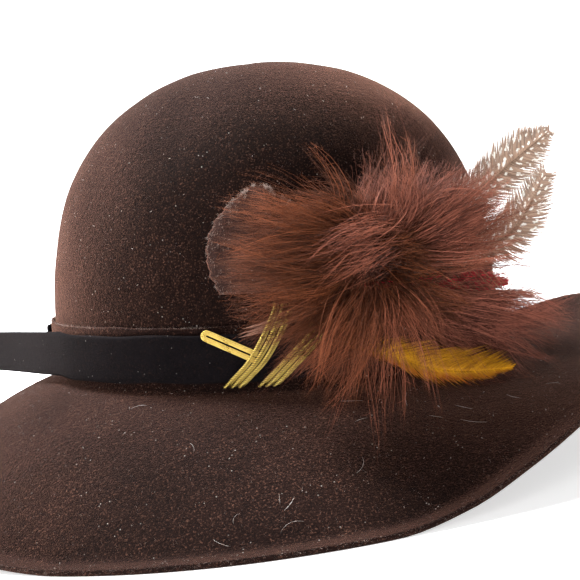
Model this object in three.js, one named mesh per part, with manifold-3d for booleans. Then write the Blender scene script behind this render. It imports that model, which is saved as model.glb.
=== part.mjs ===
// A woman's felt hat with a bell-shaped brim and a plume on the wearer's left side.
// Millimetres. The hat stands on its brim at z = 0, its front at -X and the wearer's left at -Y.
import * as THREE from 'three';
import { mergeVertices } from 'three/addons/utils/BufferGeometryUtils.js';
import Module from 'manifold-3d';

const wasm = await Module();
wasm.setup();

// Crown: outside measures at the break, where the crown meets the brim
const CROWN_HALF_LENGTH = 102;
const CROWN_HALF_WIDTH = 84;
const CROWN_HEIGHT = 136.6;
const CROWN_SIDE_POWER = 2.11;
const CROWN_TOP_POWER = 3.16;
const CROWN_LEAN = 5.2;
const BREAK_HEIGHT = 45.3;
const FELT = 2.2;

// Brim
const BRIM_WIDTH = 78;
const BREAK_RADIUS = 6;
const FLARE = 10;
const LEVEL_EDGE = 6;
const BELL_POWER = 2.5;

// Trimming round the crown
const CLEARANCE = 0.3;
const BAND_THICK = 1.4;
const BAND_WIDTH = 20.6;
const STRAP_THICK = 2;
const STRAP_WIDTH = 19.5;
const STRAP_FOOT = 3.3;
const STRAP_START = 6;
const STRAP_LEAVES = 26;
const TAIL_LENGTH = 128;
const TAIL_DROOP = 0.075;

// Gold cord
const CORD = 2.2;
const CORD_PITCH = 2.9;
const CORDS_PER_WRAP = 3;
const WRAP_SLANT = 1;
const WRAP_FRONT = 92;
const WRAP_BACK = 99.5;
const LOOP_CORD = 1.5;
const LOOP_LENGTH = 13;
const LOOP_WIDTH = 3.4;
const LOOP_TILT = 27;

// Quills and the leaf behind the plume
const QUILL_THICK = 1.8;
const STEMS_HALF_WIDTH = 2.2;
const LEAF_THICK = 2;
const LEAF_FOOT = 38.5;
const LEAF_HEIGHT = 42;
const LEAF_HALF_WIDTH = 23;
const LEAF_AZIMUTH = 88;

// Plume: a flattened head with locks, and the feathers that lie under and beside it
const PLUME_AZIMUTH = 110;
const PLUME_SEAT = 46;
const PLUME_REACH = 60;
const HEAD_HALF_LENGTH = 31;
const HEAD_HALF_HEIGHT = 25;
const HEAD_HALF_DEPTH = 14;
const LOCK_GIRTH = 12;
const FEATHER_THICK = 0.9;
const GOLDEN_HALF_WIDTH = 5;
const RED_HALF_WIDTH = 4.2;
const GUINEA_HALF_WIDTH = 7;

const COLUMNS = 60;
const CROWN_ROWS = 12;
const BREAK_ROWS = 3;
const BRIM_ROWS = 6;
const RAD = Math.PI / 180;

// Round the brim from the front (0) to the back (180), alike on both sides.
// rimRise is the rim's height over the floor as a share of BREAK_HEIGHT, and slope the fall where the brim starts.
const BRIM_STATIONS = [
  { azimuth: 0, rimRise: 0.27, slope: 20 },
  { azimuth: 30, rimRise: 0.17, slope: 20 },
  { azimuth: 48, rimRise: 0.06, slope: 20 },
  { azimuth: 62, rimRise: 0, slope: 20 },
  { azimuth: 101, rimRise: 0, slope: 20 },
  { azimuth: 110, rimRise: 0.1, slope: 18.5 },
  { azimuth: 118, rimRise: 0.28, slope: 17 },
  { azimuth: 128, rimRise: 0.52, slope: 14 },
  { azimuth: 140, rimRise: 0.78, slope: 10 },
  { azimuth: 152, rimRise: 0.94, slope: 7 },
  { azimuth: 180, rimRise: 1.03, slope: 3 },
];

// Soft dents of a worn crown. height and spread are shares of CROWN_HEIGHT, depth a share of FELT.
const CROWN_DENTS = [
  { azimuth: 38, height: 0.62, depth: 0.8, spread: 0.13 },
  { azimuth: 62, height: 0.83, depth: 0.6, spread: 0.1 },
  { azimuth: -60, height: 0.7, depth: 0.7, spread: 0.15 },
  { azimuth: -150, height: 0.58, depth: 0.8, spread: 0.16 },
];

// Locks of the plume, seen from outside: angle 0 points to the back of the hat and 90 up.
// reach, rise (how far the tip stands out from the head) and bow are shares of PLUME_REACH.
const LOCKS = [
  { angle: 170, reach: 0.97, rise: -0.3, bow: 0.02, girth: 1.1 },
  { angle: 154, reach: 0.94, rise: -0.28, bow: 0.02, girth: 1 },
  { angle: 194, reach: 0.93, rise: -0.2, bow: 0.04, girth: 1.1 },
  { angle: 132, reach: 0.8, rise: -0.12, bow: 0.02, girth: 0.9 },
  { angle: 106, reach: 0.76, rise: -0.02, bow: 0, girth: 0.9 },
  { angle: 80, reach: 0.92, rise: 0, bow: 0, girth: 1 },
  { angle: 58, reach: 0.98, rise: 0.04, bow: 0, girth: 1 },
  { angle: 30, reach: 1.24, rise: 0.08, bow: 0.03, girth: 1.1 },
  { angle: 10, reach: 1.3, rise: 0.05, bow: 0.03, girth: 1.1 },
  { angle: -8, reach: 1.25, rise: 0, bow: 0.03, girth: 1.1 },
  { angle: -25, reach: 1.2, rise: 0.04, bow: 0.04, girth: 1.1 },
  { angle: -66, reach: 1.05, rise: 0.38, bow: 0.1, girth: 1 },
  { angle: -90, reach: 1.08, rise: 0.48, bow: 0.1, girth: 0.9 },
  { angle: -108, reach: 0.98, rise: 0.34, bow: 0.1, girth: 0.9 },
  { angle: -136, reach: 0.9, rise: 0.1, bow: 0.08, girth: 0.9 },
];
const LOCK_SWELL = [0.8, 1, 0.95, 0.55, 0.12];

// Feathers from quill to tip, seen like the locks: along and up, and out from the plume's seat,
// are shares of PLUME_REACH, and half is a share of the feather's half width.
const GOLDEN_FEATHER = [
  { along: -0.18, up: -0.46, out: 0.13, half: 0.4 },
  { along: 0.12, up: -0.57, out: 0.25, half: 0.9 },
  { along: 0.34, up: -0.66, out: 0.3, half: 1 },
  { along: 0.6, up: -0.72, out: 0.34, half: 0.75 },
  { along: 0.89, up: -0.75, out: 0.37, half: 0.12 },
];
// The golden feather's quill under the back wrap: azimuth from the wrap, drop a share of STRAP_WIDTH.
const QUILL_ROWS = [
  { azimuth: -7, drop: 0.45 },
  { azimuth: 0, drop: 0.25 },
];
const RED_FEATHER = [
  { along: 0.02, up: -0.13, out: 0, half: 0.25 },
  { along: 0.4, up: -0.15, out: 0, half: 0.7 },
  { along: 0.8, up: -0.17, out: 0.03, half: 1 },
  { along: 1.06, up: -0.19, out: 0.06, half: 0.15 },
];
const GUINEA_FRONT = [
  { along: 0.03, up: -0.08, out: 0, half: 0.15 },
  { along: 0.45, up: 0.2, out: 0, half: 0.6 },
  { along: 0.86, up: 0.42, out: 0.04, half: 1 },
  { along: 1.16, up: 0.64, out: 0.08, half: 1 },
  { along: 1.43, up: 0.82, out: 0.12, half: 0.2 },
];
const GUINEA_BACK = [
  { along: 0.03, up: -0.1, out: 0, half: 0.15 },
  { along: 0.6, up: 0.02, out: 0, half: 0.6 },
  { along: 1.12, up: 0.14, out: 0, half: 0.8 },
  { along: 1.42, up: 0.54, out: 0.06, half: 0.15 },
];

// The leaf's outline over its height, left towards the front of the hat.
const LEAF_ROWS = [
  { height: 0, left: 0.72, right: 0.5 },
  { height: 0.15, left: 0.92, right: 0.8 },
  { height: 0.45, left: 1, right: 1 },
  { height: 0.7, left: 0.86, right: 0.9 },
  { height: 0.9, left: 0.56, right: 0.6 },
  { height: 1, left: 0.24, right: 0.25 },
];

const lean = new THREE.Matrix4().makeRotationY(CROWN_LEAN * RAD).setPosition(0, 0, BREAK_HEIGHT);

function folded(azimuth) {
  const turned = THREE.MathUtils.euclideanModulo(azimuth + 180, 360) - 180;
  return Math.abs(turned);
}

// Reads a column of a table between its rows without overshoot.
function between(rows, column, at) {
  const last = rows.length - 1;
  const low = Math.min(rows.findLastIndex((row) => row.azimuth <= at), last - 1);
  const gap = (k) => rows[k + 1].azimuth - rows[k].azimuth;
  const secant = (k) => (rows[k + 1][column] - rows[k][column]) / gap(k);
  const tangent = (k) => {
    if (k === 0 || k === last) return 0;
    const before = secant(k - 1);
    const after = secant(k);
    return before * after <= 0 ? 0 : (2 * before * after) / (before + after);
  };
  const t = (at - rows[low].azimuth) / gap(low);
  const hold = t * t * (3 - 2 * t);
  const lead = t * (1 - t) * (1 - t) * gap(low) * tangent(low);
  const trail = t * t * (t - 1) * gap(low) * tangent(low + 1);
  return rows[low][column] * (1 - hold) + rows[low + 1][column] * hold + lead + trail;
}

// A point at this height on an oval drawn off from the crown's foot.
function beside(azimuth, off, height) {
  const x = -(CROWN_HALF_LENGTH + off) * Math.cos(azimuth * RAD);
  const y = -(CROWN_HALF_WIDTH + off) * Math.sin(azimuth * RAD);
  return new THREE.Vector3(x, y, height);
}

function crownShare(height) {
  const climbed = THREE.MathUtils.clamp(height / CROWN_HEIGHT, 0, 1);
  return (1 - climbed ** CROWN_TOP_POWER) ** (1 / CROWN_SIDE_POWER);
}

// A point off the crown's surface, along its outward normal.
function onCrown(azimuth, height, off) {
  const foot = beside(azimuth, 0, 0).multiplyScalar(crownShare(height)).setZ(height);
  const side = CROWN_SIDE_POWER * crownShare(height) ** (CROWN_SIDE_POWER - 2);
  const top = (CROWN_TOP_POWER / CROWN_HEIGHT) * (height / CROWN_HEIGHT) ** (CROWN_TOP_POWER - 1);
  const normal = new THREE.Vector3(
    (side * foot.x) / CROWN_HALF_LENGTH ** 2,
    (side * foot.y) / CROWN_HALF_WIDTH ** 2,
    top,
  );
  return foot.addScaledVector(normal.normalize(), off);
}

function dentAt(azimuth, height) {
  return CROWN_DENTS.reduce((sum, dent) => {
    const round = folded(azimuth - dent.azimuth) * RAD * CROWN_HALF_WIDTH;
    const up = height - dent.height * CROWN_HEIGHT;
    const spread = dent.spread * CROWN_HEIGHT;
    return sum + dent.depth * FELT * Math.exp(-(round ** 2 + up ** 2) / (2 * spread ** 2));
  }, 0);
}

// The felt's outer face. way runs from the crown's tip (0) to the top of the break's curve (1),
// to its end (2) and to the brim's edge (3).
function outerFace(way, azimuth) {
  const slope = between(BRIM_STATIONS, 'slope', folded(azimuth)) * RAD;
  const turn = Math.PI / 2 - slope;
  const seat = BREAK_RADIUS * Math.tan(turn / 2);
  if (way < 1) {
    const seatClimb = Math.asin((seat / CROWN_HEIGHT) ** (CROWN_TOP_POWER / 2));
    const climb = THREE.MathUtils.lerp(Math.PI / 2, seatClimb, way);
    const height = CROWN_HEIGHT * Math.sin(climb) ** (2 / CROWN_TOP_POWER);
    return onCrown(azimuth, height, -dentAt(azimuth, height)).applyMatrix4(lean);
  }
  const bend = Math.min(way - 1, 1) * turn;
  const off = BREAK_RADIUS * (1 - Math.cos(bend));
  const start = beside(azimuth, off, seat - BREAK_RADIUS * Math.sin(bend)).applyMatrix4(lean);
  if (way <= 2) return start;
  return brimPoint(start, off, azimuth, slope, (way - 2) * (BRIM_WIDTH - off));
}

// Falls from the break ever steeper, like a bell, then flares out to a level edge.
function brimPoint(start, off, azimuth, slope, run) {
  const out = beside(azimuth, 1, 0).sub(beside(azimuth, 0, 0));
  const fall = out.clone().multiplyScalar(Math.cos(slope)).setZ(-Math.sin(slope));
  fall.applyAxisAngle(new THREE.Vector3(0, 1, 0), CROWN_LEAN * RAD);
  const first = -fall.z / Math.hypot(fall.x, fall.y);
  const bell = BRIM_WIDTH - off - FLARE;
  const easing = FLARE - LEVEL_EDGE;
  const rim = between(BRIM_STATIONS, 'rimRise', folded(azimuth)) * BREAK_HEIGHT;
  const gained = 1 / BELL_POWER;
  const drop = start.z - rim - FELT;
  const steepest = (drop - bell * first * (1 - gained)) / (bell * gained + easing / 2);
  const u = Math.min(run / bell, 1);
  const eased = THREE.MathUtils.clamp(run - bell, 0, easing);
  const bellFall = bell * (first * (u - gained * u ** BELL_POWER) + steepest * gained * u ** BELL_POWER);
  const flareFall = steepest * (eased - eased ** 2 / (2 * easing));
  return start.clone().addScaledVector(out, run).setZ(start.z - bellFall - flareFall);
}

function outerNormal(way, azimuth) {
  const step = 1e-3;
  const down = outerFace(Math.min(way + step, 3), azimuth).sub(outerFace(Math.max(way - step, 0), azimuth));
  const round = outerFace(way, azimuth + step * 100).sub(outerFace(way, azimuth - step * 100));
  return down.cross(round).normalize();
}

function closedSolid(positions, faces) {
  const geometry = new THREE.BufferGeometry();
  const coordinates = positions.flatMap((p) => [p.x, p.y, p.z]);
  geometry.setAttribute('position', new THREE.Float32BufferAttribute(coordinates, 3));
  geometry.setIndex(faces.flat());
  geometry.computeVertexNormals();
  return geometry;
}

// Joins rings of equally many points into a tube.
function sideFaces(first, rings, count) {
  const faces = [];
  for (let ring = 0; ring < rings - 1; ring++) {
    for (let i = 0; i < count; i++) {
      const next = (i + 1) % count;
      const here = first + ring * count;
      faces.push([here + i, here + next, here + count + i]);
      faces.push([here + next, here + count + next, here + count + i]);
    }
  }
  return faces;
}

// A solid through sections that run round counterclockwise, seen from the end that they lead to.
function loft(sections) {
  const count = sections[0].length;
  const faces = sideFaces(0, sections.length, count);
  const end = (sections.length - 1) * count;
  for (let i = 1; i < count - 1; i++) {
    faces.push([0, i + 1, i]);
    faces.push([end, end + i, end + i + 1]);
  }
  return closedSolid(sections.flat(), faces);
}

// A band whose last section meets its first.
function loopedLoft(sections) {
  const count = sections[0].length;
  const total = sections.length * count;
  const faces = sideFaces(0, sections.length + 1, count);
  return closedSolid(sections.flat(), faces.map((face) => face.map((index) => index % total)));
}

function hatBody() {
  const brimLevels = [FLARE, (FLARE + LEVEL_EDGE) / 2, LEVEL_EDGE, LEVEL_EDGE / 2, 0];
  const bellEnd = 1 - FLARE / BRIM_WIDTH;
  const ways = [
    ...Array.from({ length: CROWN_ROWS }, (_, i) => (i + 1) / CROWN_ROWS),
    ...Array.from({ length: BREAK_ROWS }, (_, i) => 1 + (i + 1) / BREAK_ROWS),
    ...Array.from({ length: BRIM_ROWS }, (_, i) => 2 + (bellEnd * (i + 1)) / (BRIM_ROWS + 1)),
  ];
  const azimuths = Array.from({ length: COLUMNS }, (_, i) => (-i * 360) / COLUMNS);
  const levelWay = (left, azimuth) => {
    const slope = between(BRIM_STATIONS, 'slope', folded(azimuth)) * RAD;
    const off = BREAK_RADIUS * (1 - Math.sin(slope));
    return 3 - left / (BRIM_WIDTH - off);
  };
  const wayLists = [
    ...ways.map((way) => () => way),
    ...brimLevels.map((left) => (azimuth) => levelWay(left, azimuth)),
  ];
  const outside = wayLists.map((at) => azimuths.map((azimuth) => outerFace(at(azimuth), azimuth)));
  const inside = wayLists.map((at, row) => azimuths.map((azimuth, column) => {
    const normal = outerNormal(at(azimuth), azimuth);
    return outside[row][column].clone().addScaledVector(normal, -FELT);
  }));
  const rings = [...outside, ...inside.reverse()];
  const tip = outerFace(0, 0);
  const innerTip = tip.clone().sub(new THREE.Vector3(0, 0, FELT).transformDirection(lean).multiplyScalar(FELT));
  const faces = sideFaces(1, rings.length, COLUMNS);
  const lastRing = 1 + (rings.length - 1) * COLUMNS;
  const lastPoint = 1 + rings.length * COLUMNS;
  for (let i = 0; i < COLUMNS; i++) {
    const next = (i + 1) % COLUMNS;
    faces.push([0, 1 + next, 1 + i]);
    faces.push([lastRing + i, lastRing + next, lastPoint]);
  }
  return closedSolid([tip, ...rings.flat(), innerTip], faces);
}

// The section of a band that stands on its edge: inner foot, outer foot, outer top, inner top.
function bandSection(azimuth, off, thick, foot, width) {
  return [
    beside(azimuth, off, foot),
    beside(azimuth, off, foot + width),
    beside(azimuth, off + thick, foot + width),
    beside(azimuth, off + thick, foot),
  ];
}

const bandOff = CLEARANCE;
const strapOff = bandOff + BAND_THICK + CLEARANCE;
const strapFace = strapOff + STRAP_THICK;
const strapTop = STRAP_FOOT + STRAP_WIDTH;
const bandFoot = STRAP_FOOT + STRAP_WIDTH / 10;

function baseBand() {
  const sections = [];
  for (let i = 0; i < COLUMNS; i++) {
    sections.push(bandSection((i * 360) / COLUMNS, bandOff, BAND_THICK, bandFoot, BAND_WIDTH));
  }
  return loopedLoft(sections);
}

// Once round the crown, then straight on as a free tail that droops a little.
function strap() {
  const sections = [];
  const turn = 360 / COLUMNS;
  const wrapped = 360 + STRAP_START - STRAP_LEAVES;
  const steps = Math.ceil(wrapped / turn);
  for (let i = 0; i <= steps; i++) {
    const azimuth = STRAP_START - (wrapped * i) / steps;
    sections.push(bandSection(azimuth, strapOff, STRAP_THICK, STRAP_FOOT, STRAP_WIDTH).reverse());
  }
  const leaving = beside(STRAP_LEAVES - 0.1, strapOff, 0).sub(beside(STRAP_LEAVES, strapOff, 0)).normalize();
  const tailSteps = 6;
  for (let i = 1; i <= tailSteps; i++) {
    const run = (TAIL_LENGTH * i) / tailSteps;
    const sunk = leaving.clone().multiplyScalar(run).setZ(-TAIL_DROOP * run);
    sections.push(sections[steps].map((corner) => corner.clone().add(sunk)));
  }
  return loft(sections);
}

// A round bar of the given thickness along a path.
function bar(points, diameter, sides, steps) {
  const path = new THREE.CatmullRomCurve3(points, false, 'centripetal');
  const section = new THREE.Shape();
  for (let i = 0; i < sides; i++) {
    const corner = (i * 2 * Math.PI) / sides;
    const place = [(diameter / 2) * Math.cos(corner), (diameter / 2) * Math.sin(corner)];
    if (i === 0) section.moveTo(...place);
    else section.lineTo(...place);
  }
  return new THREE.ExtrudeGeometry(section, { steps, extrudePath: path, bevelEnabled: false });
}

function asManifold(geometry) {
  const bare = geometry.clone();
  bare.deleteAttribute('normal');
  bare.deleteAttribute('uv');
  const merged = mergeVertices(bare, 1e-4);
  const mesh = new wasm.Mesh({
    numProp: 3,
    vertProperties: new Float32Array(merged.attributes.position.array),
    triVerts: new Uint32Array(merged.index.array),
  });
  return new wasm.Manifold(mesh);
}

function fused(geometries) {
  const whole = geometries.map(asManifold).reduce((sum, piece) => sum.add(piece)).getMesh();
  const geometry = new THREE.BufferGeometry();
  geometry.setAttribute('position', new THREE.Float32BufferAttribute(whole.vertProperties, 3));
  geometry.setIndex(Array.from(whole.triVerts));
  geometry.computeVertexNormals();
  return geometry;
}

// The quills lie on the strap's face, and the cord passes over them from edge to edge of the strap.
const quillOff = strapFace + CLEARANCE + QUILL_THICK / 2;
const overQuills = quillOff + QUILL_THICK / 2 + CLEARANCE + CORD / 2;
const bandTop = bandFoot + BAND_WIDTH;
const alongFoot = CROWN_HALF_LENGTH * RAD;

// Rows of the bare quills: lift is the height over the strap's top edge as a share of STRAP_WIDTH.
const STEMS = [
  { azimuth: 82, lift: 0 },
  { azimuth: 88, lift: 0.14 },
  { azimuth: 95, lift: 0.32 },
  { azimuth: 103, lift: 0.62 },
];

function stemHeight(azimuth) {
  const inside = THREE.MathUtils.clamp(azimuth, STEMS[0].azimuth, STEMS.at(-1).azimuth);
  return strapTop + between(STEMS, 'lift', inside) * STRAP_WIDTH;
}

// A flat blade with thin edges through rows of centre, half width and the directions across and out.
function blade(rows, thick) {
  return loft(rows.map(({ centre, half, across, out }) => [
    centre.clone().addScaledVector(across, half),
    centre.clone().addScaledVector(out, thick / 2),
    centre.clone().addScaledVector(across, -half),
    centre.clone().addScaledVector(out, -thick / 2),
  ]));
}

function stems() {
  const rows = STEMS.map(({ azimuth }) => {
    const centre = beside(azimuth, quillOff, stemHeight(azimuth));
    const out = beside(azimuth, quillOff + 1, 0).sub(beside(azimuth, quillOff, 0)).normalize();
    const across = new THREE.Vector3(0, 0, 1);
    return { centre, half: STEMS_HALF_WIDTH, across, out };
  });
  return blade(rows, QUILL_THICK);
}

// Three cords side by side, hooked round the strap's lower edge and over its upper one, or over the
// quills that lie above it.
function cordWrap(azimuth, top) {
  const onBand = bandOff + BAND_THICK + CLEARANCE + CORD / 2;
  const onStrap = strapFace + CLEARANCE + CORD / 2;
  const route = [
    { off: onBand, height: STRAP_FOOT - 2 * CLEARANCE - CORD / 2 },
    { off: onStrap + CLEARANCE, height: STRAP_FOOT - CORD / 2 },
    { off: overQuills, height: STRAP_FOOT + CORD },
    { off: overQuills, height: STRAP_FOOT + STRAP_WIDTH / 2 },
    { off: overQuills, height: top },
    { off: overQuills - CORD, height: top + CORD },
    { off: CLEARANCE + CORD / 2, height: Math.max(top, bandTop) + CORD },
  ];
  const cords = [];
  for (let i = 0; i < CORDS_PER_WRAP; i++) {
    const own = azimuth + ((i - 1) * CORD_PITCH) / alongFoot;
    const points = route.map(({ off, height }) => {
      const slanted = (WRAP_SLANT * Math.min(height - strapTop, 0)) / alongFoot;
      return beside(own + slanted, off, height);
    });
    cords.push(bar(points, CORD, 8, 16));
  }
  return fused(cords);
}

// A doubled cord end that slants over the strap's upper edge.
function cordLoop() {
  const turns = 6;
  const half = LOOP_WIDTH / 2;
  const outline = [new THREE.Vector2(0, -half)];
  for (let i = 0; i <= turns; i++) {
    const bend = -Math.PI / 2 - (i * Math.PI) / turns;
    outline.push(new THREE.Vector2(half * Math.cos(bend) - LOOP_LENGTH, half * Math.sin(bend)));
  }
  outline.push(new THREE.Vector2(0, half));
  const places = outline.map((point) => {
    const turned = point.rotateAround(new THREE.Vector2(), -LOOP_TILT * RAD);
    const azimuth = STEMS[0].azimuth + turned.x / alongFoot;
    const height = strapTop - STEMS_HALF_WIDTH - LOOP_WIDTH - CLEARANCE + turned.y;
    return beside(azimuth, strapFace + CLEARANCE + LOOP_CORD / 2, height);
  });
  return bar(places, LOOP_CORD, 8, 24);
}

function leaf() {
  const across = 6;
  const sections = LEAF_ROWS.map(({ height, left, right }) => {
    const at = LEAF_FOOT + height * LEAF_HEIGHT;
    const spread = (off) => Array.from({ length: across + 1 }, (_, i) => {
      const along = THREE.MathUtils.lerp(-left, right, i / across) * LEAF_HALF_WIDTH;
      return onCrown(LEAF_AZIMUTH + along / alongFoot, at, off);
    });
    return [...spread(CLEARANCE + LEAF_THICK), ...spread(CLEARANCE).reverse()];
  });
  return loft(sections);
}

// The plume's own axes where it sits on the crown.
const plumeSeat = onCrown(PLUME_AZIMUTH, PLUME_SEAT, 0);
const plumeOut = onCrown(PLUME_AZIMUTH, PLUME_SEAT, 1).sub(plumeSeat).normalize();
const plumeAlong = new THREE.Vector3().crossVectors(new THREE.Vector3(0, 0, 1), plumeOut).normalize();
const plumeUp = new THREE.Vector3().crossVectors(plumeOut, plumeAlong);
const layer = FEATHER_THICK + CLEARANCE;
const headOut = CLEARANCE + 3 * layer + HEAD_HALF_DEPTH;

function fromSeat(along, up, out) {
  return plumeSeat.clone().addScaledVector(plumeAlong, along).addScaledVector(plumeUp, up)
    .addScaledVector(plumeOut, out);
}

function feather(table, halfWidth, base) {
  const centres = table.map((row) => fromSeat(
    row.along * PLUME_REACH,
    row.up * PLUME_REACH,
    base + row.out * PLUME_REACH,
  ));
  const rows = table.map((row, i) => {
    const run = centres[Math.min(i + 1, table.length - 1)].clone().sub(centres[Math.max(i - 1, 0)]);
    const across = new THREE.Vector3().crossVectors(plumeOut, run).normalize();
    return { centre: centres[i], half: row.half * halfWidth, across, out: plumeOut };
  });
  return blade(rows, FEATHER_THICK);
}

// The golden feather's quill starts on the strap's face, under the back wrap.
function goldenFeather() {
  const quill = QUILL_ROWS.map(({ azimuth, drop }) => {
    const place = beside(WRAP_BACK + azimuth, quillOff, strapTop - drop * STRAP_WIDTH).sub(plumeSeat);
    const [along, up, out] = [plumeAlong, plumeUp, plumeOut].map((axis) => place.dot(axis) / PLUME_REACH);
    return { along, up, out, half: 0.2 };
  });
  return feather([...quill, ...GOLDEN_FEATHER], GOLDEN_HALF_WIDTH, 0);
}

function lock({ angle, reach, rise, bow, girth }) {
  const sides = 6;
  const aim = new THREE.Vector2(Math.cos(angle * RAD), Math.sin(angle * RAD));
  const beam = plumeAlong.clone().multiplyScalar(aim.x).addScaledVector(plumeUp, aim.y);
  const across = new THREE.Vector3().crossVectors(plumeOut, beam);
  const sections = LOCK_SWELL.map((swell, i) => {
    const s = i / (LOCK_SWELL.length - 1);
    const lift = (rise * s * s + 4 * bow * s * (1 - s)) * PLUME_REACH;
    const run = reach * s * PLUME_REACH;
    const centre = fromSeat(aim.x * run, aim.y * run, headOut + lift);
    const radius = (swell * girth * LOCK_GIRTH) / 2;
    return Array.from({ length: sides }, (_, k) => {
      const turn = (k * 2 * Math.PI) / sides;
      return centre.clone().addScaledVector(across, radius * Math.cos(turn))
        .addScaledVector(plumeOut, radius * Math.sin(turn));
    });
  });
  return loft(sections);
}

function plume() {
  const head = new THREE.SphereGeometry(1, 18, 12);
  head.scale(HEAD_HALF_LENGTH, HEAD_HALF_HEIGHT, HEAD_HALF_DEPTH);
  const place = new THREE.Matrix4().makeBasis(plumeAlong, plumeUp, plumeOut);
  head.applyMatrix4(place.setPosition(fromSeat(0, 0, headOut)));
  return fused([head, ...LOCKS.map(lock)]);
}

function named(name, geometry, color, roughness, metalness = 0) {
  const material = new THREE.MeshStandardMaterial({ color, roughness, metalness });
  const mesh = new THREE.Mesh(geometry, material);
  mesh.name = name;
  return mesh;
}

const trimming = new THREE.Group();
trimming.applyMatrix4(lean);
trimming.add(
  named('felt_base_band', baseBand(), 0x3a2322, 0.95),
  named('felt_strap', strap(), 0x1b171a, 0.95),
  named('plume_stems', stems(), 0xb58a78, 0.6),
  named('gold_cord_wrap_front', cordWrap(WRAP_FRONT, stemHeight(WRAP_FRONT) + STEMS_HALF_WIDTH + CORD), 0xc2a43c, 0.35, 0.8),
  named('gold_cord_wrap_back', cordWrap(WRAP_BACK, strapTop), 0xc2a43c, 0.35, 0.8),
  named('gold_cord_loop', cordLoop(), 0xc9b14a, 0.3, 0.8),
  named('felt_leaf', leaf(), 0x33201e, 0.95),
  named('marabou_plume', plume(), 0x74402f, 0.9),
  named('red_feather', feather(RED_FEATHER, RED_HALF_WIDTH, CLEARANCE + FEATHER_THICK / 2), 0x8e2a2c, 0.7),
  named(
    'guinea_feather_back',
    feather(GUINEA_BACK, GUINEA_HALF_WIDTH, CLEARANCE + layer + FEATHER_THICK / 2),
    0x8a7363,
    0.7,
  ),
  named(
    'guinea_feather_front',
    feather(GUINEA_FRONT, GUINEA_HALF_WIDTH, CLEARANCE + 2 * layer + FEATHER_THICK / 2),
    0xa08a78,
    0.7,
  ),
  named('golden_feather', goldenFeather(), 0xb8790f, 0.6),
);

// The hat's origin is the middle of its footprint.
const hat = new THREE.Group();
hat.add(named('felt_crown_and_brim', hatBody(), 0x4a2d2a, 0.95), trimming);
const bounds = new THREE.Box3().setFromObject(hat, true);
const middle = bounds.getCenter(new THREE.Vector3());
hat.position.set(-middle.x, -middle.y, -bounds.min.z);

export default hat;
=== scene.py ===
import math

import bpy
import numpy as np
from mathutils import Matrix, Vector, noise
from mathutils.bvhtree import BVHTree


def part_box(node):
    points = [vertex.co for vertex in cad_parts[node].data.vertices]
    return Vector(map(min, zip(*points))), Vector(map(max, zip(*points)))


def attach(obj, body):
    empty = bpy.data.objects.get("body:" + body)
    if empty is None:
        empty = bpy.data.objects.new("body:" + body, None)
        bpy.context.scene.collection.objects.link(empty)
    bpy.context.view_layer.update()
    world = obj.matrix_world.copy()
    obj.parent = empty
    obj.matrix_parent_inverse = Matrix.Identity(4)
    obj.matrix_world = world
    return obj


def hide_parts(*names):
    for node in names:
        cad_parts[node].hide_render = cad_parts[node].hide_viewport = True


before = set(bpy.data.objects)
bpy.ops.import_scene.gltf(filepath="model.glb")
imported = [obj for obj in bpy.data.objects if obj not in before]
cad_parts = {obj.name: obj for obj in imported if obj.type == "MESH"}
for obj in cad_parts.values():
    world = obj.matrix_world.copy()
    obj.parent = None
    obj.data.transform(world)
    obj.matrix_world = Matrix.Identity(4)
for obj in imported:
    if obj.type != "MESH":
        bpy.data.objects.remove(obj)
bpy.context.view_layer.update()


# Crown and brim: one hood of brushed wool felt about 2 mm thick, steamed over an oval block.
# The brim falls like a bell at the front and sides, turns up at the back and has a raw cut edge.
CROWN_HALF_LENGTH = 0.102
CROWN_HALF_WIDTH = 0.084
CROWN_HEIGHT = 0.1366
CROWN_SIDE_POWER = 2.11
CROWN_TOP_POWER = 3.16
CROWN_LEAN = math.radians(5.2)
BREAK_HEIGHT = 0.0453
BREAK_RADIUS = 0.006
FELT = 0.0022
BRIM_WIDTH = 0.078
FLARE = 0.010
LEVEL_EDGE = 0.006
BELL_POWER = 2.5
BRIM_STATIONS = {
    "azimuth": (0, 30, 48, 62, 101, 110, 118, 128, 140, 152, 180),
    "rim_rise": (0.27, 0.17, 0.06, 0, 0, 0.1, 0.28, 0.52, 0.78, 0.94, 1.03),
    "slope": (20, 20, 20, 20, 20, 18.5, 17, 14, 10, 7, 3),
}
CROWN_DENTS = {
    "azimuth": (38, 62, -60, -150),
    "height": (0.62, 0.83, 0.7, 0.58),
    "depth": (0.8, 0.6, 0.7, 0.8),
    "spread": (0.13, 0.1, 0.15, 0.16),
}
FELT_COLUMNS = 208
CROWN_ROWS = 84
BREAK_ROWS = 10
BRIM_ROWS = 64
EDGE_ROWS = 6
UNEVEN_SIZE = 0.034
UNEVEN_DEPTH = 0.0007
FINER = 2.6
COARSE_SHARE = 0.7
CALM_ROWS = 12
BREAK_CALM = 0.2
INSIDE_SKIPS = (2, 3)
CLOUDS_PER_METRE = 26
TUFTS_PER_METRE = 420
SPARKS_PER_METRE = 1250
NAP_PER_METRE = 1500
NAP_RELIEF = 0.00035
SPECK_SHARE = 0.11
FELT_DARK = (0.0018, 0.0008, 0.0009, 1)
FELT_LIGHT = (0.016, 0.0068, 0.0052, 1)
# The next colour is a painted highlight: the nap's tips where they catch light.
FELT_TIP_GLINT = (0.20, 0.095, 0.064, 1)
LINT = (0.42, 0.38, 0.35, 1)


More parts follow.
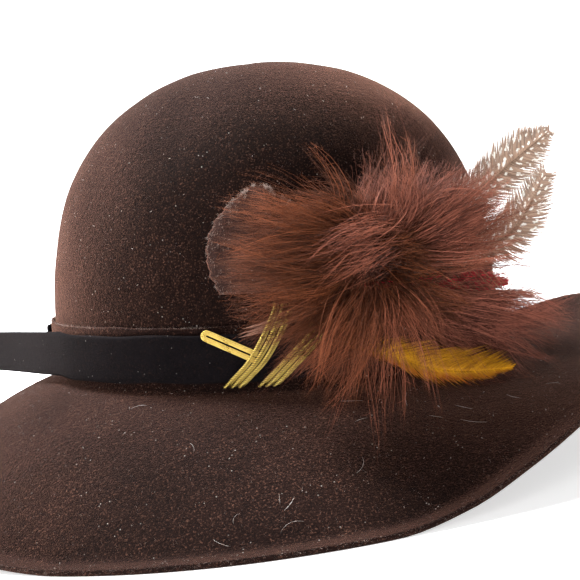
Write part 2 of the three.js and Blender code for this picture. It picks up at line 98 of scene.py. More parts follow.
class Dye:
    """A socket of a material's nodes. Sums, differences and products of sockets add Math nodes."""

    def __init__(self, tree, socket=None):
        self.tree = tree
        self.socket = socket

    def set(self, node, sockets):
        for name, value in sockets.items():
            if isinstance(value, Dye):
                self.tree.links.new(value.socket, node.inputs[name])
            else:
                node.inputs[name].default_value = value

    def node(self, kind, settings, sockets, output=0):
        """Adds a node: its settings first, then the values or links of its sockets."""
        node = self.tree.nodes.new(kind)
        for name, value in settings.items():
            if name == "stops":
                for stop, (place, shade) in zip(node.color_ramp.elements, value):
                    stop.position = place
                    stop.color = (shade, shade, shade, 1)
            else:
                setattr(node, name, value)
        self.set(node, sockets)
        return Dye(self.tree, node.outputs[output])

    def maths(self, operation, *values):
        return self.node("ShaderNodeMath", {"operation": operation}, dict(enumerate(values)))

    def __add__(self, other):
        return self.maths("ADD", self, other)

    def __sub__(self, other):
        return self.maths("SUBTRACT", self, other)

    def __rsub__(self, other):
        return self.maths("SUBTRACT", other, self)

    def __mul__(self, other):
        return self.maths("MULTIPLY", self, other)

    __radd__ = __add__
    __rmul__ = __mul__

    def between(self, low, high):
        """0 where this socket is at or under low, 1 where it is at or over high."""
        sockets = {"Value": self, "From Min": low, "From Max": high}
        return self.node("ShaderNodeMapRange", {}, sockets)

    def mix(self, first, second):
        """The first colour where this socket is 0, the second where it is 1."""
        return self.node("ShaderNodeMix", {"data_type": "RGBA"}, {0: self, 6: first, 7: second}, 2)

    def place(self):
        return self.node("ShaderNodeTexCoord", {}, {}, "Object")

    def grain(self, scale, detail=2.0, rough=0.6, place=None):
        """Soft noise between 0 and 1, with so many grains to the metre."""
        sockets = {"Vector": place or self.place(), "Scale": scale, "Detail": detail, "Roughness": rough}
        return self.node("ShaderNodeTexNoise", {}, sockets)

    def carried(self, name):
        """A number that the mesh carries on its points."""
        return self.node("ShaderNodeAttribute", {"attribute_name": name}, {}, "Fac")

    def relief(self, height, depth):
        return self.node("ShaderNodeBump", {}, {"Height": height, "Distance": depth}, "Normal")


def new_material(name):
    """A material, the start of its nodes, and a function that sets its shader's sockets."""
    material = bpy.data.materials.new(name)
    material.use_nodes = True
    dye = Dye(material.node_tree)
    shader = material.node_tree.nodes["Principled BSDF"]
    return material, dye, lambda sockets: dye.set(shader, sockets)


def felt_material(name, dark, light, sheen=0.27, lint=0.6, tips=0.75):
    """Brushed wool felt: cloudy dye, a fine nap that catches light at its tips, and specks of lint.

    sheen, lint and tips say how strong the bloom, the specks and the painted highlight on the nap's tips are.
    """
    material, dye, shade = new_material(name)
    place = dye.place()
    cloud = dye.grain(CLOUDS_PER_METRE, 4, 0.62, place).between(0.35, 0.68)
    nap = dye.grain(NAP_PER_METRE, 3, 0.8, place).between(0.36, 0.66)
    tuft = dye.grain(TUFTS_PER_METRE, 3, 0.7, place).between(0.35, 0.68)
    colour = (cloud * 0.25 + tuft * 0.35 + nap * 0.4).mix(dark, light)
    # Painted highlight: bright specks where the nap's tips catch light.
    tip_glint = dye.grain(SPARKS_PER_METRE, 2, 0.75, place).between(0.56, 0.76)
    colour = (tip_glint * (cloud * 0.6 + 0.4) * tips).mix(colour, FELT_TIP_GLINT)
    cells = {"Vector": place, "Scale": TUFTS_PER_METRE}
    near = dye.node("ShaderNodeTexVoronoi", {}, cells, "Distance")
    patch = dye.grain(150, 1, 0.5, place).between(0.55, 0.62)
    speck = near.maths("LESS_THAN", near, SPECK_SHARE) * patch
    shade({
        "Base Color": (speck * lint).mix(colour, LINT),
        "Roughness": 0.95,
        "Specular IOR Level": 0.05,
        "Sheen Weight": sheen,
        "Sheen Roughness": 0.22,
        "Sheen Tint": (1.0, 0.47, 0.32, 1),
        "Normal": dye.relief(nap * 0.5 + tuft * 0.5, NAP_RELIEF),
    })
    return material


def around_brim(column, azimuth):
    """Reads a column of the brim's table without overshoot, alike on both sides of the hat."""
    at = np.abs((np.asarray(azimuth, float) + 180) % 360 - 180)
    knots = np.array(BRIM_STATIONS["azimuth"], float)
    values = np.array(BRIM_STATIONS[column], float)
    gap = np.diff(knots)
    secant = np.diff(values) / gap
    product = secant[:-1] * secant[1:]
    total = secant[:-1] + secant[1:]
    inner = np.where(product > 0, 2 * product / np.where(total == 0, 1, total), 0)
    tangent = np.concatenate([[0], inner, [0]])
    low = np.clip(np.searchsorted(knots, at, side="right") - 1, 0, len(gap) - 1)
    t = (at - knots[low]) / gap[low]
    hold = t * t * (3 - 2 * t)
    lead = t * (1 - t) ** 2 * gap[low] * tangent[low]
    trail = t * t * (t - 1) * gap[low] * tangent[low + 1]
    return values[low] * (1 - hold) + values[low + 1] * hold + lead + trail


def beside(azimuth, off, height):
    """Points at a height over the break, on an oval drawn off from the crown's foot."""
    turn = np.radians(azimuth)
    x = -(CROWN_HALF_LENGTH + off) * np.cos(turn)
    y = -(CROWN_HALF_WIDTH + off) * np.sin(turn)
    return np.stack(np.broadcast_arrays(x, y, height), -1).astype(float)


def unit(vectors):
    return vectors / np.maximum(np.linalg.norm(vectors, axis=-1, keepdims=True), 1e-12)


def on_crown(azimuth, height, off):
    """Points off the crown's surface, along its outward normal."""
    azimuth, height, off = np.broadcast_arrays(azimuth, height, off)
    climbed = np.clip(height / CROWN_HEIGHT, 0, 1)
    share = (1 - climbed**CROWN_TOP_POWER) ** (1 / CROWN_SIDE_POWER)
    foot = beside(azimuth, 0, height)
    foot[..., :2] *= share[..., None]
    side = CROWN_SIDE_POWER * share ** (CROWN_SIDE_POWER - 2)
    normal = np.stack([
        side * foot[..., 0] / CROWN_HALF_LENGTH**2,
        side * foot[..., 1] / CROWN_HALF_WIDTH**2,
        CROWN_TOP_POWER / CROWN_HEIGHT * climbed ** (CROWN_TOP_POWER - 1),
    ], -1)
    return foot + unit(normal) * np.asarray(off)[..., None]


def tilted(vectors):
    """Turns directions of the crown, which leans back, into those of the hat as it stands."""
    x, y, z = np.moveaxis(np.asarray(vectors, float), -1, 0)
    cosine, sine = math.cos(CROWN_LEAN), math.sin(CROWN_LEAN)
    return np.stack([x * cosine + z * sine, y, z * cosine - x * sine], -1)


def dent_at(azimuth, height):
    depth = 0
    for at, up, deep, wide in zip(*CROWN_DENTS.values()):
        around = np.radians((azimuth - at + 180) % 360 - 180) * CROWN_HALF_WIDTH
        spread = wide * CROWN_HEIGHT
        away = around**2 + (height - up * CROWN_HEIGHT) ** 2
        depth = depth + deep * FELT * np.exp(-away / (2 * spread**2))
    return depth


def crown_row(azimuth, way):
    """A ring of the crown: way runs from its tip, 0, to where the curve of the break begins, 1."""
    turn = np.pi / 2 - np.radians(around_brim("slope", azimuth))
    seat = BREAK_RADIUS * np.tan(turn / 2)
    seat_climb = np.arcsin((seat / CROWN_HEIGHT) ** (CROWN_TOP_POWER / 2))
    climb = np.pi / 2 + (seat_climb - np.pi / 2) * way
    height = CROWN_HEIGHT * np.sin(climb) ** (2 / CROWN_TOP_POWER)
    return tilted(on_crown(azimuth, height, -dent_at(azimuth, height)))


def break_row(azimuth, way):
    """A ring of the break's curve, which joins the crown and the brim."""
    turn = np.pi / 2 - np.radians(around_brim("slope", azimuth))
    seat = BREAK_RADIUS * np.tan(turn / 2)
    bend = turn * way
    return tilted(beside(azimuth, BREAK_RADIUS * (1 - np.cos(bend)), seat - BREAK_RADIUS * np.sin(bend)))


def brim_row(azimuth, way):
    """A ring of the brim, which falls ever steeper, like a bell, and flares out to a level edge."""
    slope = np.radians(around_brim("slope", azimuth))
    off = BREAK_RADIUS * (1 - np.sin(slope))
    start = break_row(azimuth, 1)
    out = beside(azimuth, 1, 0) - beside(azimuth, 0, 0)
    steep = out * np.cos(slope)[:, None]
    steep[:, 2] = -np.sin(slope)
    steep = tilted(steep)
    first = -steep[:, 2] / np.hypot(steep[:, 0], steep[:, 1])
    bell = BRIM_WIDTH - off - FLARE
    easing = FLARE - LEVEL_EDGE
    gained = 1 / BELL_POWER
    drop = start[:, 2] + BREAK_HEIGHT * (1 - around_brim("rim_rise", azimuth)) - FELT
    last = (drop - bell * first * (1 - gained)) / (bell * gained + easing / 2)
    run = way * (BRIM_WIDTH - off)
    share = np.minimum(run / bell, 1)
    eased = np.clip(run - bell, 0, easing)
    fall = bell * (first * (share - gained * share**BELL_POWER) + last * gained * share**BELL_POWER)
    row = start + out * run[:, None]
    row[:, 2] = start[:, 2] - fall - last * (eased - eased**2 / (2 * easing))
    return row


around = np.arange(FELT_COLUMNS) * 360 / FELT_COLUMNS
back_rim = brim_row(np.array([180.0]), 1.0)[0]
shift = np.array([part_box("felt_crown_and_brim")[1].x - back_rim[0], 0, BREAK_HEIGHT])


def standing(points):
    """Moves points of the crown's frame to where the hat stands."""
    return tilted(points) + shift


def uneven(points, size):
    """Soft unevenness between about -1 and 1."""
    return np.array([noise.noise(Vector(place) / size) for place in points.reshape(-1, 3)]).reshape(
        points.shape[:-1]
    )


rows = [crown_row(around, way) for way in np.linspace(0, 1, CROWN_ROWS + 1)[1:]]
rows += [break_row(around, way) for way in np.linspace(0, 1, BREAK_ROWS + 1)[1:]]
rows += [brim_row(around, way) for way in np.linspace(0, 1, BRIM_ROWS + 1)[1:]]
outside = np.array(rows) + shift
tip = tilted(on_crown(0.0, CROWN_HEIGHT, 0.0)) + shift


def grid_normals(grid):
    """Outward normals of rings that run round counterclockwise, seen from above, and lead down."""
    down = np.gradient(grid, axis=0)
    onward = np.roll(grid, -1, axis=1) - np.roll(grid, 1, axis=1)
    return unit(np.cross(down, onward))


# The soft dents are calm near the break and die out at the cut edge.
still = np.ones(len(rows))
still[-CALM_ROWS:] = np.linspace(1, 0, CALM_ROWS)
still[CROWN_ROWS - 8:CROWN_ROWS + CALM_ROWS] = BREAK_CALM
sway = uneven(outside, UNEVEN_SIZE) * COARSE_SHARE + uneven(outside, UNEVEN_SIZE / FINER) * (1 - COARSE_SHARE)
outside = outside + grid_normals(outside) * (sway * UNEVEN_DEPTH * still[:, None])[..., None]
out_normals = grid_normals(outside)

edge = []
for turn in np.linspace(0, np.pi, EDGE_ROWS + 2)[1:-1]:
    level = unit(out_normals[-1] * [1, 1, 0] + (beside(around, 1, 0) - beside(around, 0, 0)))
    edge.append(
        outside[-1] - out_normals[-1] * FELT / 2 * (1 - math.cos(turn))
        + level * FELT * 0.22 * math.sin(turn)
    )
inside = outside - out_normals * FELT
brim_skip, crown_skip = INSIDE_SKIPS
foot_row = CROWN_ROWS + BREAK_ROWS
inside_rows = [*range(len(rows) - 1, foot_row, -brim_skip), *range(foot_row, 0, -crown_skip), 0]
rings = np.concatenate([outside, np.array(edge), inside[inside_rows]])
rings[..., 2] = np.maximum(rings[..., 2], 0)


def ring_faces(first, count, columns, looped=False):
    """Quads between rings of equally many points, the last ring joined to the first where looped."""
    here = first + (np.arange(count if looped else count - 1) * columns)[:, None]
    below = first + ((np.arange(len(here)) + 1) % count * columns)[:, None]
    left = np.arange(columns)[None, :]
    right = (left + 1) % columns
    return np.stack([here + left, below + left, below + right, here + right], -1).reshape(-1, 4).tolist()


def made(name, points, faces, material):
    """A named piece from its points and the corners of its faces, shaded smooth."""
    mesh = bpy.data.meshes.new(name)
    mesh.from_pydata(np.asarray(points, float).reshape(-1, 3).tolist(), [], faces)
    mesh.shade_smooth()
    mesh.materials.append(material)
    piece = bpy.data.objects.new(name, mesh)
    bpy.context.scene.collection.objects.link(piece)
    return piece


last_ring = 1 + (len(rings) - 1) * FELT_COLUMNS
inner_tip = tip - tilted([0, 0, 1]) * FELT
turns = [(i, (i + 1) % FELT_COLUMNS) for i in range(FELT_COLUMNS)]
felt_faces = ring_faces(1, len(rings), FELT_COLUMNS)
felt_faces += [[0, 1 + i, 1 + j] for i, j in turns]
felt_faces += [[last_ring + j, last_ring + i, last_ring + FELT_COLUMNS] for i, j in turns]
felt_points = np.concatenate([[tip], rings.reshape(-1, 3), [inner_tip]])
brown_felt = felt_material("brown_wool_felt", FELT_DARK, FELT_LIGHT)
body = made("crown_and_brim", felt_points, felt_faces, brown_felt)
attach(body, "root")
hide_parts("felt_crown_and_brim")
skin = BVHTree.FromPolygons(
    [tuple(place) for place in np.concatenate([[tip], outside.reshape(-1, 3)])],
    ring_faces(1, len(outside), FELT_COLUMNS) + [[0, 1 + i, 1 + j] for i, j in turns],
)


# Nap: short wool fibres that stand up from the felt's face and fray along its cut edge.
# They show as a soft bloom on the crown's outline and as fuzz along the brim.
FACE_FIBRES = 9000
EDGE_FIBRES = 5500
FIBRE_LENGTH = 0.0011
FIBRE_HALF_WIDTH = 0.00003
SHORT_FIBRE = (0, 0, 0, 1)
NAP_DARK = (0.03, 0.017, 0.015, 1)
NAP_LIGHT = (0.13, 0.08, 0.066, 1)
FUZZ_LIGHT = (0.24, 0.17, 0.14, 1)
chance = np.random.default_rng(31)


def strands(lines, halves, thin=1.0, facing=None):
    """Points and faces of closed three-sided strands along lines, each tapered to a point.

    lines is an array of strand, station, xyz, and halves the half width at each station.
    """
    count, stations = lines.shape[:2]
    run = unit(np.gradient(lines, axis=1))
    if facing is None:
        facing = np.broadcast_to(np.array([0.31, 0.9, 0.3]), run.shape)
    across = unit(np.cross(run, facing))
    lift = np.cross(run, across)
    corners = []
    for turn in (0, 2 * math.pi / 3, 4 * math.pi / 3):
        reach = across * math.cos(turn) + lift * thin * math.sin(turn)
        corners.append(lines + reach * halves[..., None])
    rings_of = np.stack(corners, 2)[:, :-1].reshape(count, -1, 3)
    points = np.concatenate([rings_of, lines[:, -1:]], 1)
    own = []
    for station in range(stations - 2):
        for corner in range(3):
            here = station * 3 + corner
            beside_it = station * 3 + (corner + 1) % 3
            own.append([here, beside_it, beside_it + 3])
            own.append([here, beside_it + 3, here + 3])
    end = 3 * (stations - 2)
    own += [[end + corner, end + (corner + 1) % 3, end + 3] for corner in range(3)]
    own.append([2, 1, 0])
    starts = (np.arange(count) * points.shape[1])[:, None, None]
    return points.reshape(-1, 3), (np.array(own)[None] + starts).reshape(-1, 3).tolist()


def carry(piece, name, values):
    """Puts a number on each point of a piece, for its material to read."""
    held = piece.data.attributes.new(name, "FLOAT", "POINT")
    held.data.foreach_set("value", np.asarray(values, np.float32).ravel())


def fibre_piece(name, lines, halves, material, tints, along):
    """A piece of loose fibres: each has its own tint, and along holds a number for each of its points."""
    points, faces = strands(lines, halves)
    piece = made(name, points, faces, material)
    carry(piece, "own_tint", np.repeat(tints, len(along)))
    carry(piece, "along", np.tile(along, len(lines)))
    return piece


def hair_material(name, dark, light, sheen, rough):
    """Fibres: each has its own depth of dye, and all are darker at the root than at the tip."""
    material, dye, shade = new_material(name)
    own = dye.carried("own_tint")
    along = dye.carried("along")
    patch = dye.grain(240, 2, 0.6).between(0.3, 0.7)
    shade({
        "Base Color": (own * 0.5 + along * 0.3 + patch * 0.2).mix(dark, light),
        "Roughness": rough,
        "Specular IOR Level": 0.25,
        "Sheen Weight": sheen,
        "Sheen Roughness": 0.4,
        "Sheen Tint": (1.0, 0.8, 0.7, 1),
    })
    return material


face_row = chance.integers(0, len(outside) - 1, FACE_FIBRES * 3)
ring_size = np.linalg.norm(outside[face_row, 0, :2] - outside[face_row, FELT_COLUMNS // 2, :2], axis=1)
kept = np.flatnonzero(chance.random(len(face_row)) < ring_size / ring_size.max())[:FACE_FIBRES]
face_row = face_row[kept]
face_column = chance.integers(0, FELT_COLUMNS, len(face_row))
edge_column = chance.integers(0, FELT_COLUMNS, EDGE_FIBRES)
edge_rings = np.concatenate([outside[-3:], np.array(edge)])
edge_row = chance.integers(0, len(edge_rings), EDGE_FIBRES)
spread = chance.random((len(face_row), 2))
face_roots = (
    outside[face_row, face_column] * (1 - spread[:, :1])
    + outside[face_row, (face_column + 1) % FELT_COLUMNS] * spread[:, :1]
) * (1 - spread[:, 1:]) + outside[face_row + 1, face_column] * spread[:, 1:]
share = chance.random((EDGE_FIBRES, 1))
edge_roots = (
    edge_rings[edge_row, edge_column] * (1 - share)
    + edge_rings[edge_row, (edge_column + 1) % FELT_COLUMNS] * share
)
roots = np.concatenate([face_roots, edge_roots])
stand = np.concatenate([
    out_normals[face_row, face_column],
    unit(beside(around[edge_column], 1, 0) - beside(around[edge_column], 0, 0)) + [0, 0, 0.25],
])
lie = chance.normal(size=stand.shape)
length = FIBRE_LENGTH * chance.uniform(0.5, 1.5, (len(roots), 1))
tips = roots + unit(stand * 0.9 + lie * 0.5) * length
tips[:, 2] = np.maximum(tips[:, 2], 0.0001)
lines = np.stack([roots, tips], 1)
halves = np.broadcast_to([1, 0], lines.shape[:2]) * FIBRE_HALF_WIDTH
wool_nap = hair_material("wool_nap", NAP_DARK, NAP_LIGHT, sheen=0.6, rough=0.8)
nap = fibre_piece("felt_nap", lines, halves, wool_nap, chance.random(len(roots)), SHORT_FIBRE)
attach(nap, "root")


# Stray hairs and lint: pale threads that have settled on the brushed felt.
# The few long ones lie on the brim's left side, the short ones are strewn all over.
STRAYS = 17
LINT_THREADS = 190
STRAY_STATIONS = 6
STRAY_TAPER = (0.5, 0.9, 1, 1, 0.8, 0)
STRAY_LENGTHS = (0.004, 0.012)
LINT_LENGTHS = (0.0004, 0.001)
STRAY_ARC = 0.22
STRAY_HALF = 0.000045
LINT_HALF = 0.000065
STRAY_OFF = 0.00025
STRAY_CLIMB = 0.0001
STRAY_PALE = (0.3, 0.26, 0.24, 1)
STRAY_WHITE = (0.7, 0.66, 0.63, 1)
stray_count = STRAYS + LINT_THREADS
stray_long = np.arange(stray_count) < STRAYS
stray_row = np.where(
    stray_long, chance.integers(CROWN_ROWS + 16, len(outside) - 8, stray_count),
    chance.integers(12, len(outside) - 4, stray_count),
)
stray_turn = np.where(stray_long, chance.normal(98, 34, stray_count), chance.uniform(0, 360, stray_count))
stray_column = (stray_turn / 360 * FELT_COLUMNS).astype(int) % FELT_COLUMNS
stray_up = out_normals[stray_row, stray_column]
stray_foot = outside[stray_row, stray_column] + chance.normal(0, 0.0006, (stray_count, 3))
level_lie = unit(np.cross(stray_up, chance.normal(size=stray_up.shape) + [0, 0, 0.8]))
side_lie = np.cross(stray_up, level_lie)
hair_lengths = chance.uniform(*STRAY_LENGTHS, stray_count)
lint_lengths = chance.uniform(*LINT_LENGTHS, stray_count)
stray_length = np.where(stray_long, hair_lengths, lint_lengths)[:, None, None]
s = np.linspace(-0.5, 0.5, STRAY_STATIONS)[None, :, None] * stray_length
arc = chance.normal(0, STRAY_ARC, stray_count)[:, None, None] * (1 - (2 * s / stray_length) ** 2)
lines = stray_foot[:, None] + level_lie[:, None] * s + side_lie[:, None] * arc * stray_length * 0.5
for index, hair in enumerate(lines):
    for station, place in enumerate(hair):
        foot, normal, _, _ = skin.find_nearest(Vector(place))
        lines[index, station] = foot + normal * (STRAY_OFF + STRAY_CLIMB * station)
halves = np.where(stray_long, STRAY_HALF, LINT_HALF)[:, None] * np.array(STRAY_TAPER)[None]
pale_lint = hair_material("pale_lint", STRAY_PALE, STRAY_WHITE, sheen=0.2, rough=0.5)
along = np.linspace(0, 1, 3 * STRAY_STATIONS - 2)
strays = fibre_piece("stray_hairs", lines, halves, pale_lint, chance.random(stray_count), along)
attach(strays, "root")


# Base band: a strip of the same felt round the foot of the crown, under the strap.
# Only its upper edge shows, cut raw and a little wavy.
CLEARANCE = 0.0003
BAND_THICK = 0.0014
BAND_WIDTH = 0.0206
STRAP_FOOT = 0.0033
STRAP_WIDTH = 0.0195
STRAP_THICK = 0.002
BAND_STEPS = 240
band_off = CLEARANCE
band_foot = STRAP_FOOT + STRAP_WIDTH / 10
band_top = band_foot + BAND_WIDTH


def strip_outline(thick, width, rows_up=10, round_steps=5):
    """The rounded section of a strip on edge: how far out and how far up each point is.

    It runs round from the inner foot, up the inside, over the top and down the outside.
    """
    half = thick / 2
    bend = np.linspace(np.pi, 0, round_steps + 1)
    up = np.linspace(half, width - half, rows_up)
    out = np.concatenate([np.full(rows_up, 0.0), half + half * np.cos(bend[1:-1]), np.full(rows_up, thick)])
    rise = np.concatenate([up, width - half + half * np.sin(bend[1:-1]), up[::-1]])
    low = np.linspace(0, -np.pi, round_steps + 1)[1:-1]
    return np.concatenate([out, half + half * np.cos(low)]), np.concatenate([rise, half + half * np.sin(low)])


def loft_faces(count, columns, looped=False, first=0):
    """Faces of a solid through like sections, closed at both ends unless it is looped."""
    rings_between = ring_faces(first, count, columns, looped)
    if looped:
        return rings_between
    start = [first + i for i in range(columns)]
    end = [first + (count - 1) * columns + i for i in range(columns)]
    return rings_between + [start, end[::-1]]


out, rise = strip_outline(BAND_THICK, BAND_WIDTH)
band_around = np.arange(BAND_STEPS) * 360 / BAND_STEPS
wave = 0.00035 * np.sin(np.radians(band_around * 9)) + 0.0002 * np.sin(np.radians(band_around * 23 + 40))
top_share = np.clip(rise / BAND_WIDTH, 0, 1)
sections = np.array([
    beside(turn, band_off + out, band_foot + rise + lift * top_share)
    for turn, lift in zip(band_around, wave)
])
base_band = made(
    "base_band", standing(sections), loft_faces(BAND_STEPS, len(out), looped=True), brown_felt
)
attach(base_band, "root")
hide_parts("felt_base_band")


# Base band fuzz: short fibres that stand up all along the band's raw upper edge.
# They blur the line between the band and the crown.
BAND_FUZZ = 2200
BAND_FUZZ_LENGTHS = (0.0005, 0.0016)
BAND_FUZZ_HALF = 0.00005
fuzz_turns = chance.uniform(0, 360, BAND_FUZZ)
fuzz_off = band_off + BAND_THICK * chance.random(BAND_FUZZ)
fuzz_roots = beside(fuzz_turns, fuzz_off, band_top - BAND_THICK * 0.3)
outward = unit(fuzz_roots * [1, 1, 0])
fuzz_lie = unit(np.array([0, 0, 0.9]) + outward * 0.6 + chance.normal(size=fuzz_roots.shape) * 0.5)
fuzz_tips = fuzz_roots + fuzz_lie * chance.uniform(*BAND_FUZZ_LENGTHS, (BAND_FUZZ, 1))
fuzz_lines = standing(np.stack([fuzz_roots, fuzz_tips], 1))
halves = np.broadcast_to([1, 0], fuzz_lines.shape[:2]) * BAND_FUZZ_HALF
cut_fuzz = hair_material("cut_felt_fuzz", NAP_DARK, FUZZ_LIGHT, sheen=0.4, rough=0.8)
fuzz_tints = chance.random(BAND_FUZZ)
band_fuzz = fibre_piece("base_band_fuzz", fuzz_lines, halves, cut_fuzz, fuzz_tints, SHORT_FIBRE)
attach(band_fuzz, "root")


# Strap: a darker felt strip laid once round the crown over the base band, with a free straight tail.
# It leaves the crown near the front, and the cord wraps pinch it at the plume.
STRAP_START = 6
STRAP_LEAVES = 26
TAIL_LENGTH = 0.128
TAIL_DROOP = 0.075
STRAP_STEPS = 300
TAIL_STEPS = 48
PINCH_AT = 95.5
PINCH_SPREAD = 9
PINCH = 0.0011
STRAP_DARK = (0.0016, 0.0012, 0.0016, 1)
STRAP_LIGHT = (0.0066, 0.0051, 0.006, 1)
strap_off = band_off + BAND_THICK + CLEARANCE
strap_face = strap_off + STRAP_THICK
strap_top = STRAP_FOOT + STRAP_WIDTH

out, rise = strip_outline(STRAP_THICK, STRAP_WIDTH, rows_up=14)
wrapped = 360 + STRAP_START - STRAP_LEAVES
strap_turns = STRAP_START - wrapped * np.linspace(0, 1, STRAP_STEPS + 1)
centred = rise - STRAP_WIDTH / 2
sections = []
for turn in strap_turns:
    pinch = PINCH * math.exp(-(((turn % 360) - PINCH_AT) / PINCH_SPREAD) ** 2)
    ripple = 0.0003 * math.sin(math.radians(turn * 7)) + 0.0002 * math.sin(math.radians(turn * 19))
    narrowed = centred * (1 - 2 * pinch / STRAP_WIDTH) + ripple
    sections.append(beside(turn, strap_off + out, STRAP_FOOT + STRAP_WIDTH / 2 + narrowed))
leaving = unit(beside(STRAP_LEAVES - 0.1, strap_off, 0.0) - beside(STRAP_LEAVES, strap_off, 0.0))
for step in range(1, TAIL_STEPS + 1):
    run = TAIL_LENGTH * step / TAIL_STEPS
    ripple = 0.0004 * math.sin(run * 70)
    onward = leaving * run + [0, 0, -TAIL_DROOP * run]
    sections.append(sections[STRAP_STEPS] + onward + leaving[[1, 0, 2]] * [-1, 1, 1] * ripple)
dark_felt = felt_material("dark_wool_felt", STRAP_DARK, STRAP_LIGHT, sheen=0.012, lint=0.5, tips=0.12)
strap = made("strap", standing(np.array(sections)), loft_faces(len(sections), len(out)), dark_felt)
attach(strap, "root")
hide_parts("felt_strap")


# Quill stems: the bare ends of the plume's feathers, bound side by side under the gold cord.
# They lie on the strap's upper edge and fan out a little towards the front.
QUILL_THICK = 0.0018
STEMS_HALF_WIDTH = 0.0022
STEMS = {"azimuth": (82, 88, 95, 103), "lift": (0, 0.14, 0.32, 0.62)}
STEM_COUNT = 9
STEM_STATIONS = 16
STEM_STAGGER = 4.5
STEM_HALF = 0.00062
STEM_TAPER = 0.22
STEM_DARK = (0.12, 0.045, 0.028, 1)
STEM_LIGHT = (0.44, 0.23, 0.16, 1)
quill_off = strap_face + CLEARANCE + QUILL_THICK / 2
along_foot = math.radians(1) * CROWN_HALF_LENGTH


def stem_height(azimuth):
    return strap_top + np.interp(azimuth, STEMS["azimuth"], STEMS["lift"]) * STRAP_WIDTH


lines = []
for stem in np.linspace(-1, 1, STEM_COUNT):
    free_end = STEMS["azimuth"][0] + chance.uniform(0, STEM_STAGGER)
    own_turns = np.linspace(free_end, STEMS["azimuth"][-1], STEM_STATIONS)
    fan = stem * STEMS_HALF_WIDTH * 0.85 * (1 + 0.12 * np.sin(own_turns * 0.5 + stem * 5))
    depth = quill_off + 0.0003 * math.sin(stem * 9)
    lines.append(beside(own_turns, depth, stem_height(own_turns) + fan)[::-1])
lines = standing(np.array(lines))
halves = np.broadcast_to(np.linspace(1, STEM_TAPER, STEM_STATIONS) * STEM_HALF, lines.shape[:2])
bare_quill = hair_material("bare_quill", STEM_DARK, STEM_LIGHT, sheen=0.1, rough=0.45)
along = np.linspace(0, 1, 3 * STEM_STATIONS - 2)
stems = fibre_piece("quill_stems", lines, halves, bare_quill, chance.random(STEM_COUNT), along)
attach(stems, "root")
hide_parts("plume_stems")


# Gold cord: metallic thread hooked over the strap in two wraps of three cords, with a doubled loop
# at the front. Each cord is a beaded two-ply twist with two smooth bright threads laid beside it.
CORD = 0.0022
CORD_PITCH = 0.0029
CORDS_PER_WRAP = 3
WRAP_SLANT = 1
WRAP_FRONT = 92
WRAP_BACK = 99.5
PLY_HALF = 0.00033
PLY_PITCH = 0.0019
THREAD_HALF = 0.00017
THREADS = 2
THREAD_STATIONS = 40
THREAD_SHINE = 0.78
THREAD_LANE = 0.2
THREAD_STEP = 0.17
TWIST_SUNK = 0.0002
THREAD_SUNK = 0.0007
TWIST_SECTIONS = 8
LOOP_CORD = 0.0015
LOOP_LENGTH = 0.013
LOOP_WIDTH = 0.0034
LOOP_TILT = math.radians(27)
LOOP_FOOT = 0.0078
LOOP_THREADS = 4
LOOP_INSET = 0.0003
LOOP_STEP = 0.00052
LOOP_THREAD_HALF = THREAD_HALF * 1.5
LOOP_STATIONS = 60
LOOP_SHINE = 0.95
LOOP_RAISE = 0.0005
# The next colour is painted shade for the seam between two plies.
GOLD_SEAM_SHADE = (0.03, 0.017, 0.003, 1)
GOLD_DEEP = (0.26, 0.16, 0.018, 1)
GOLD_BRIGHT = (0.95, 0.72, 0.20, 1)
over_quills = quill_off + QUILL_THICK / 2 + CLEARANCE + CORD / 2


def rounded(points, rounds=3):
    """Cuts the corners of a route again and again until it is a smooth curve."""
    for _ in range(rounds):
        cut = np.empty((2 * len(points) - 2, 3))
        cut[0::2] = points[:-1] * 0.75 + points[1:] * 0.25
        cut[1::2] = points[:-1] * 0.25 + points[1:] * 0.75
        points = np.concatenate([points[:1], cut, points[-1:]])
    return points


def evenly(points, count):
    """Points at equal steps along a route."""
    walked = np.concatenate([[0], np.cumsum(np.linalg.norm(np.diff(points, axis=0), axis=1))])
    at = np.linspace(0, walked[-1], count)
    return np.stack([np.interp(at, walked, points[:, axis]) for axis in range(3)], -1)


def carried_frames(path):
    """Two directions square to a path at each point, carried along it without a twist."""
    run = unit(np.gradient(path, axis=0))
    side = unit(np.cross(run[0], [0.2, 0.3, 1]))
    first = []
    for step in run:
        side = unit(side - step * (side @ step))
        first.append(side)
    first = np.array(first)
    return first, np.cross(run, first)


def tube(path, half, sides=6):
    """Sections of a round tube along a path."""
    first, second = carried_frames(path)
    turn = np.arange(sides) * 2 * np.pi / sides
    return (
        path[:, None]
        + first[:, None] * (half * np.cos(turn))[None, :, None]
        + second[:, None] * (half * np.sin(turn))[None, :, None]
    )


def joined(parts):
    """Points, faces and carried numbers of several lofted solids as one."""
    points, faces, first = [], [], 0
    for sections_of, _ in parts:
        count, columns = sections_of.shape[:2]
        faces += [face[::-1] for face in loft_faces(count, columns, first=first)]
        points.append(sections_of.reshape(-1, 3))
        first += count * columns
    return np.concatenate(points), faces, np.concatenate([np.ravel(numbers) for _, numbers in parts])


def twisted(path, turns_per_metre):
    """The two plies of a twisted thread along a path, with how far each point is from the seam."""
    length_of = np.linalg.norm(np.diff(path, axis=0), axis=1).sum()
    turns_of = length_of * turns_per_metre
    fine = evenly(path, int(turns_of * TWIST_SECTIONS) + 2)
    first, second = carried_frames(fine)
    phase = np.linspace(0, turns_of * 2 * np.pi, len(fine))
    plies = []
    for start in (0, np.pi):
        swing = first * np.cos(phase + start)[:, None] + second * np.sin(phase + start)[:, None]
        ply = tube(fine + swing * PLY_HALF, PLY_HALF)
        plies.append((ply, np.linalg.norm(ply - fine[:, None], axis=-1) / (2 * PLY_HALF)))
    return plies


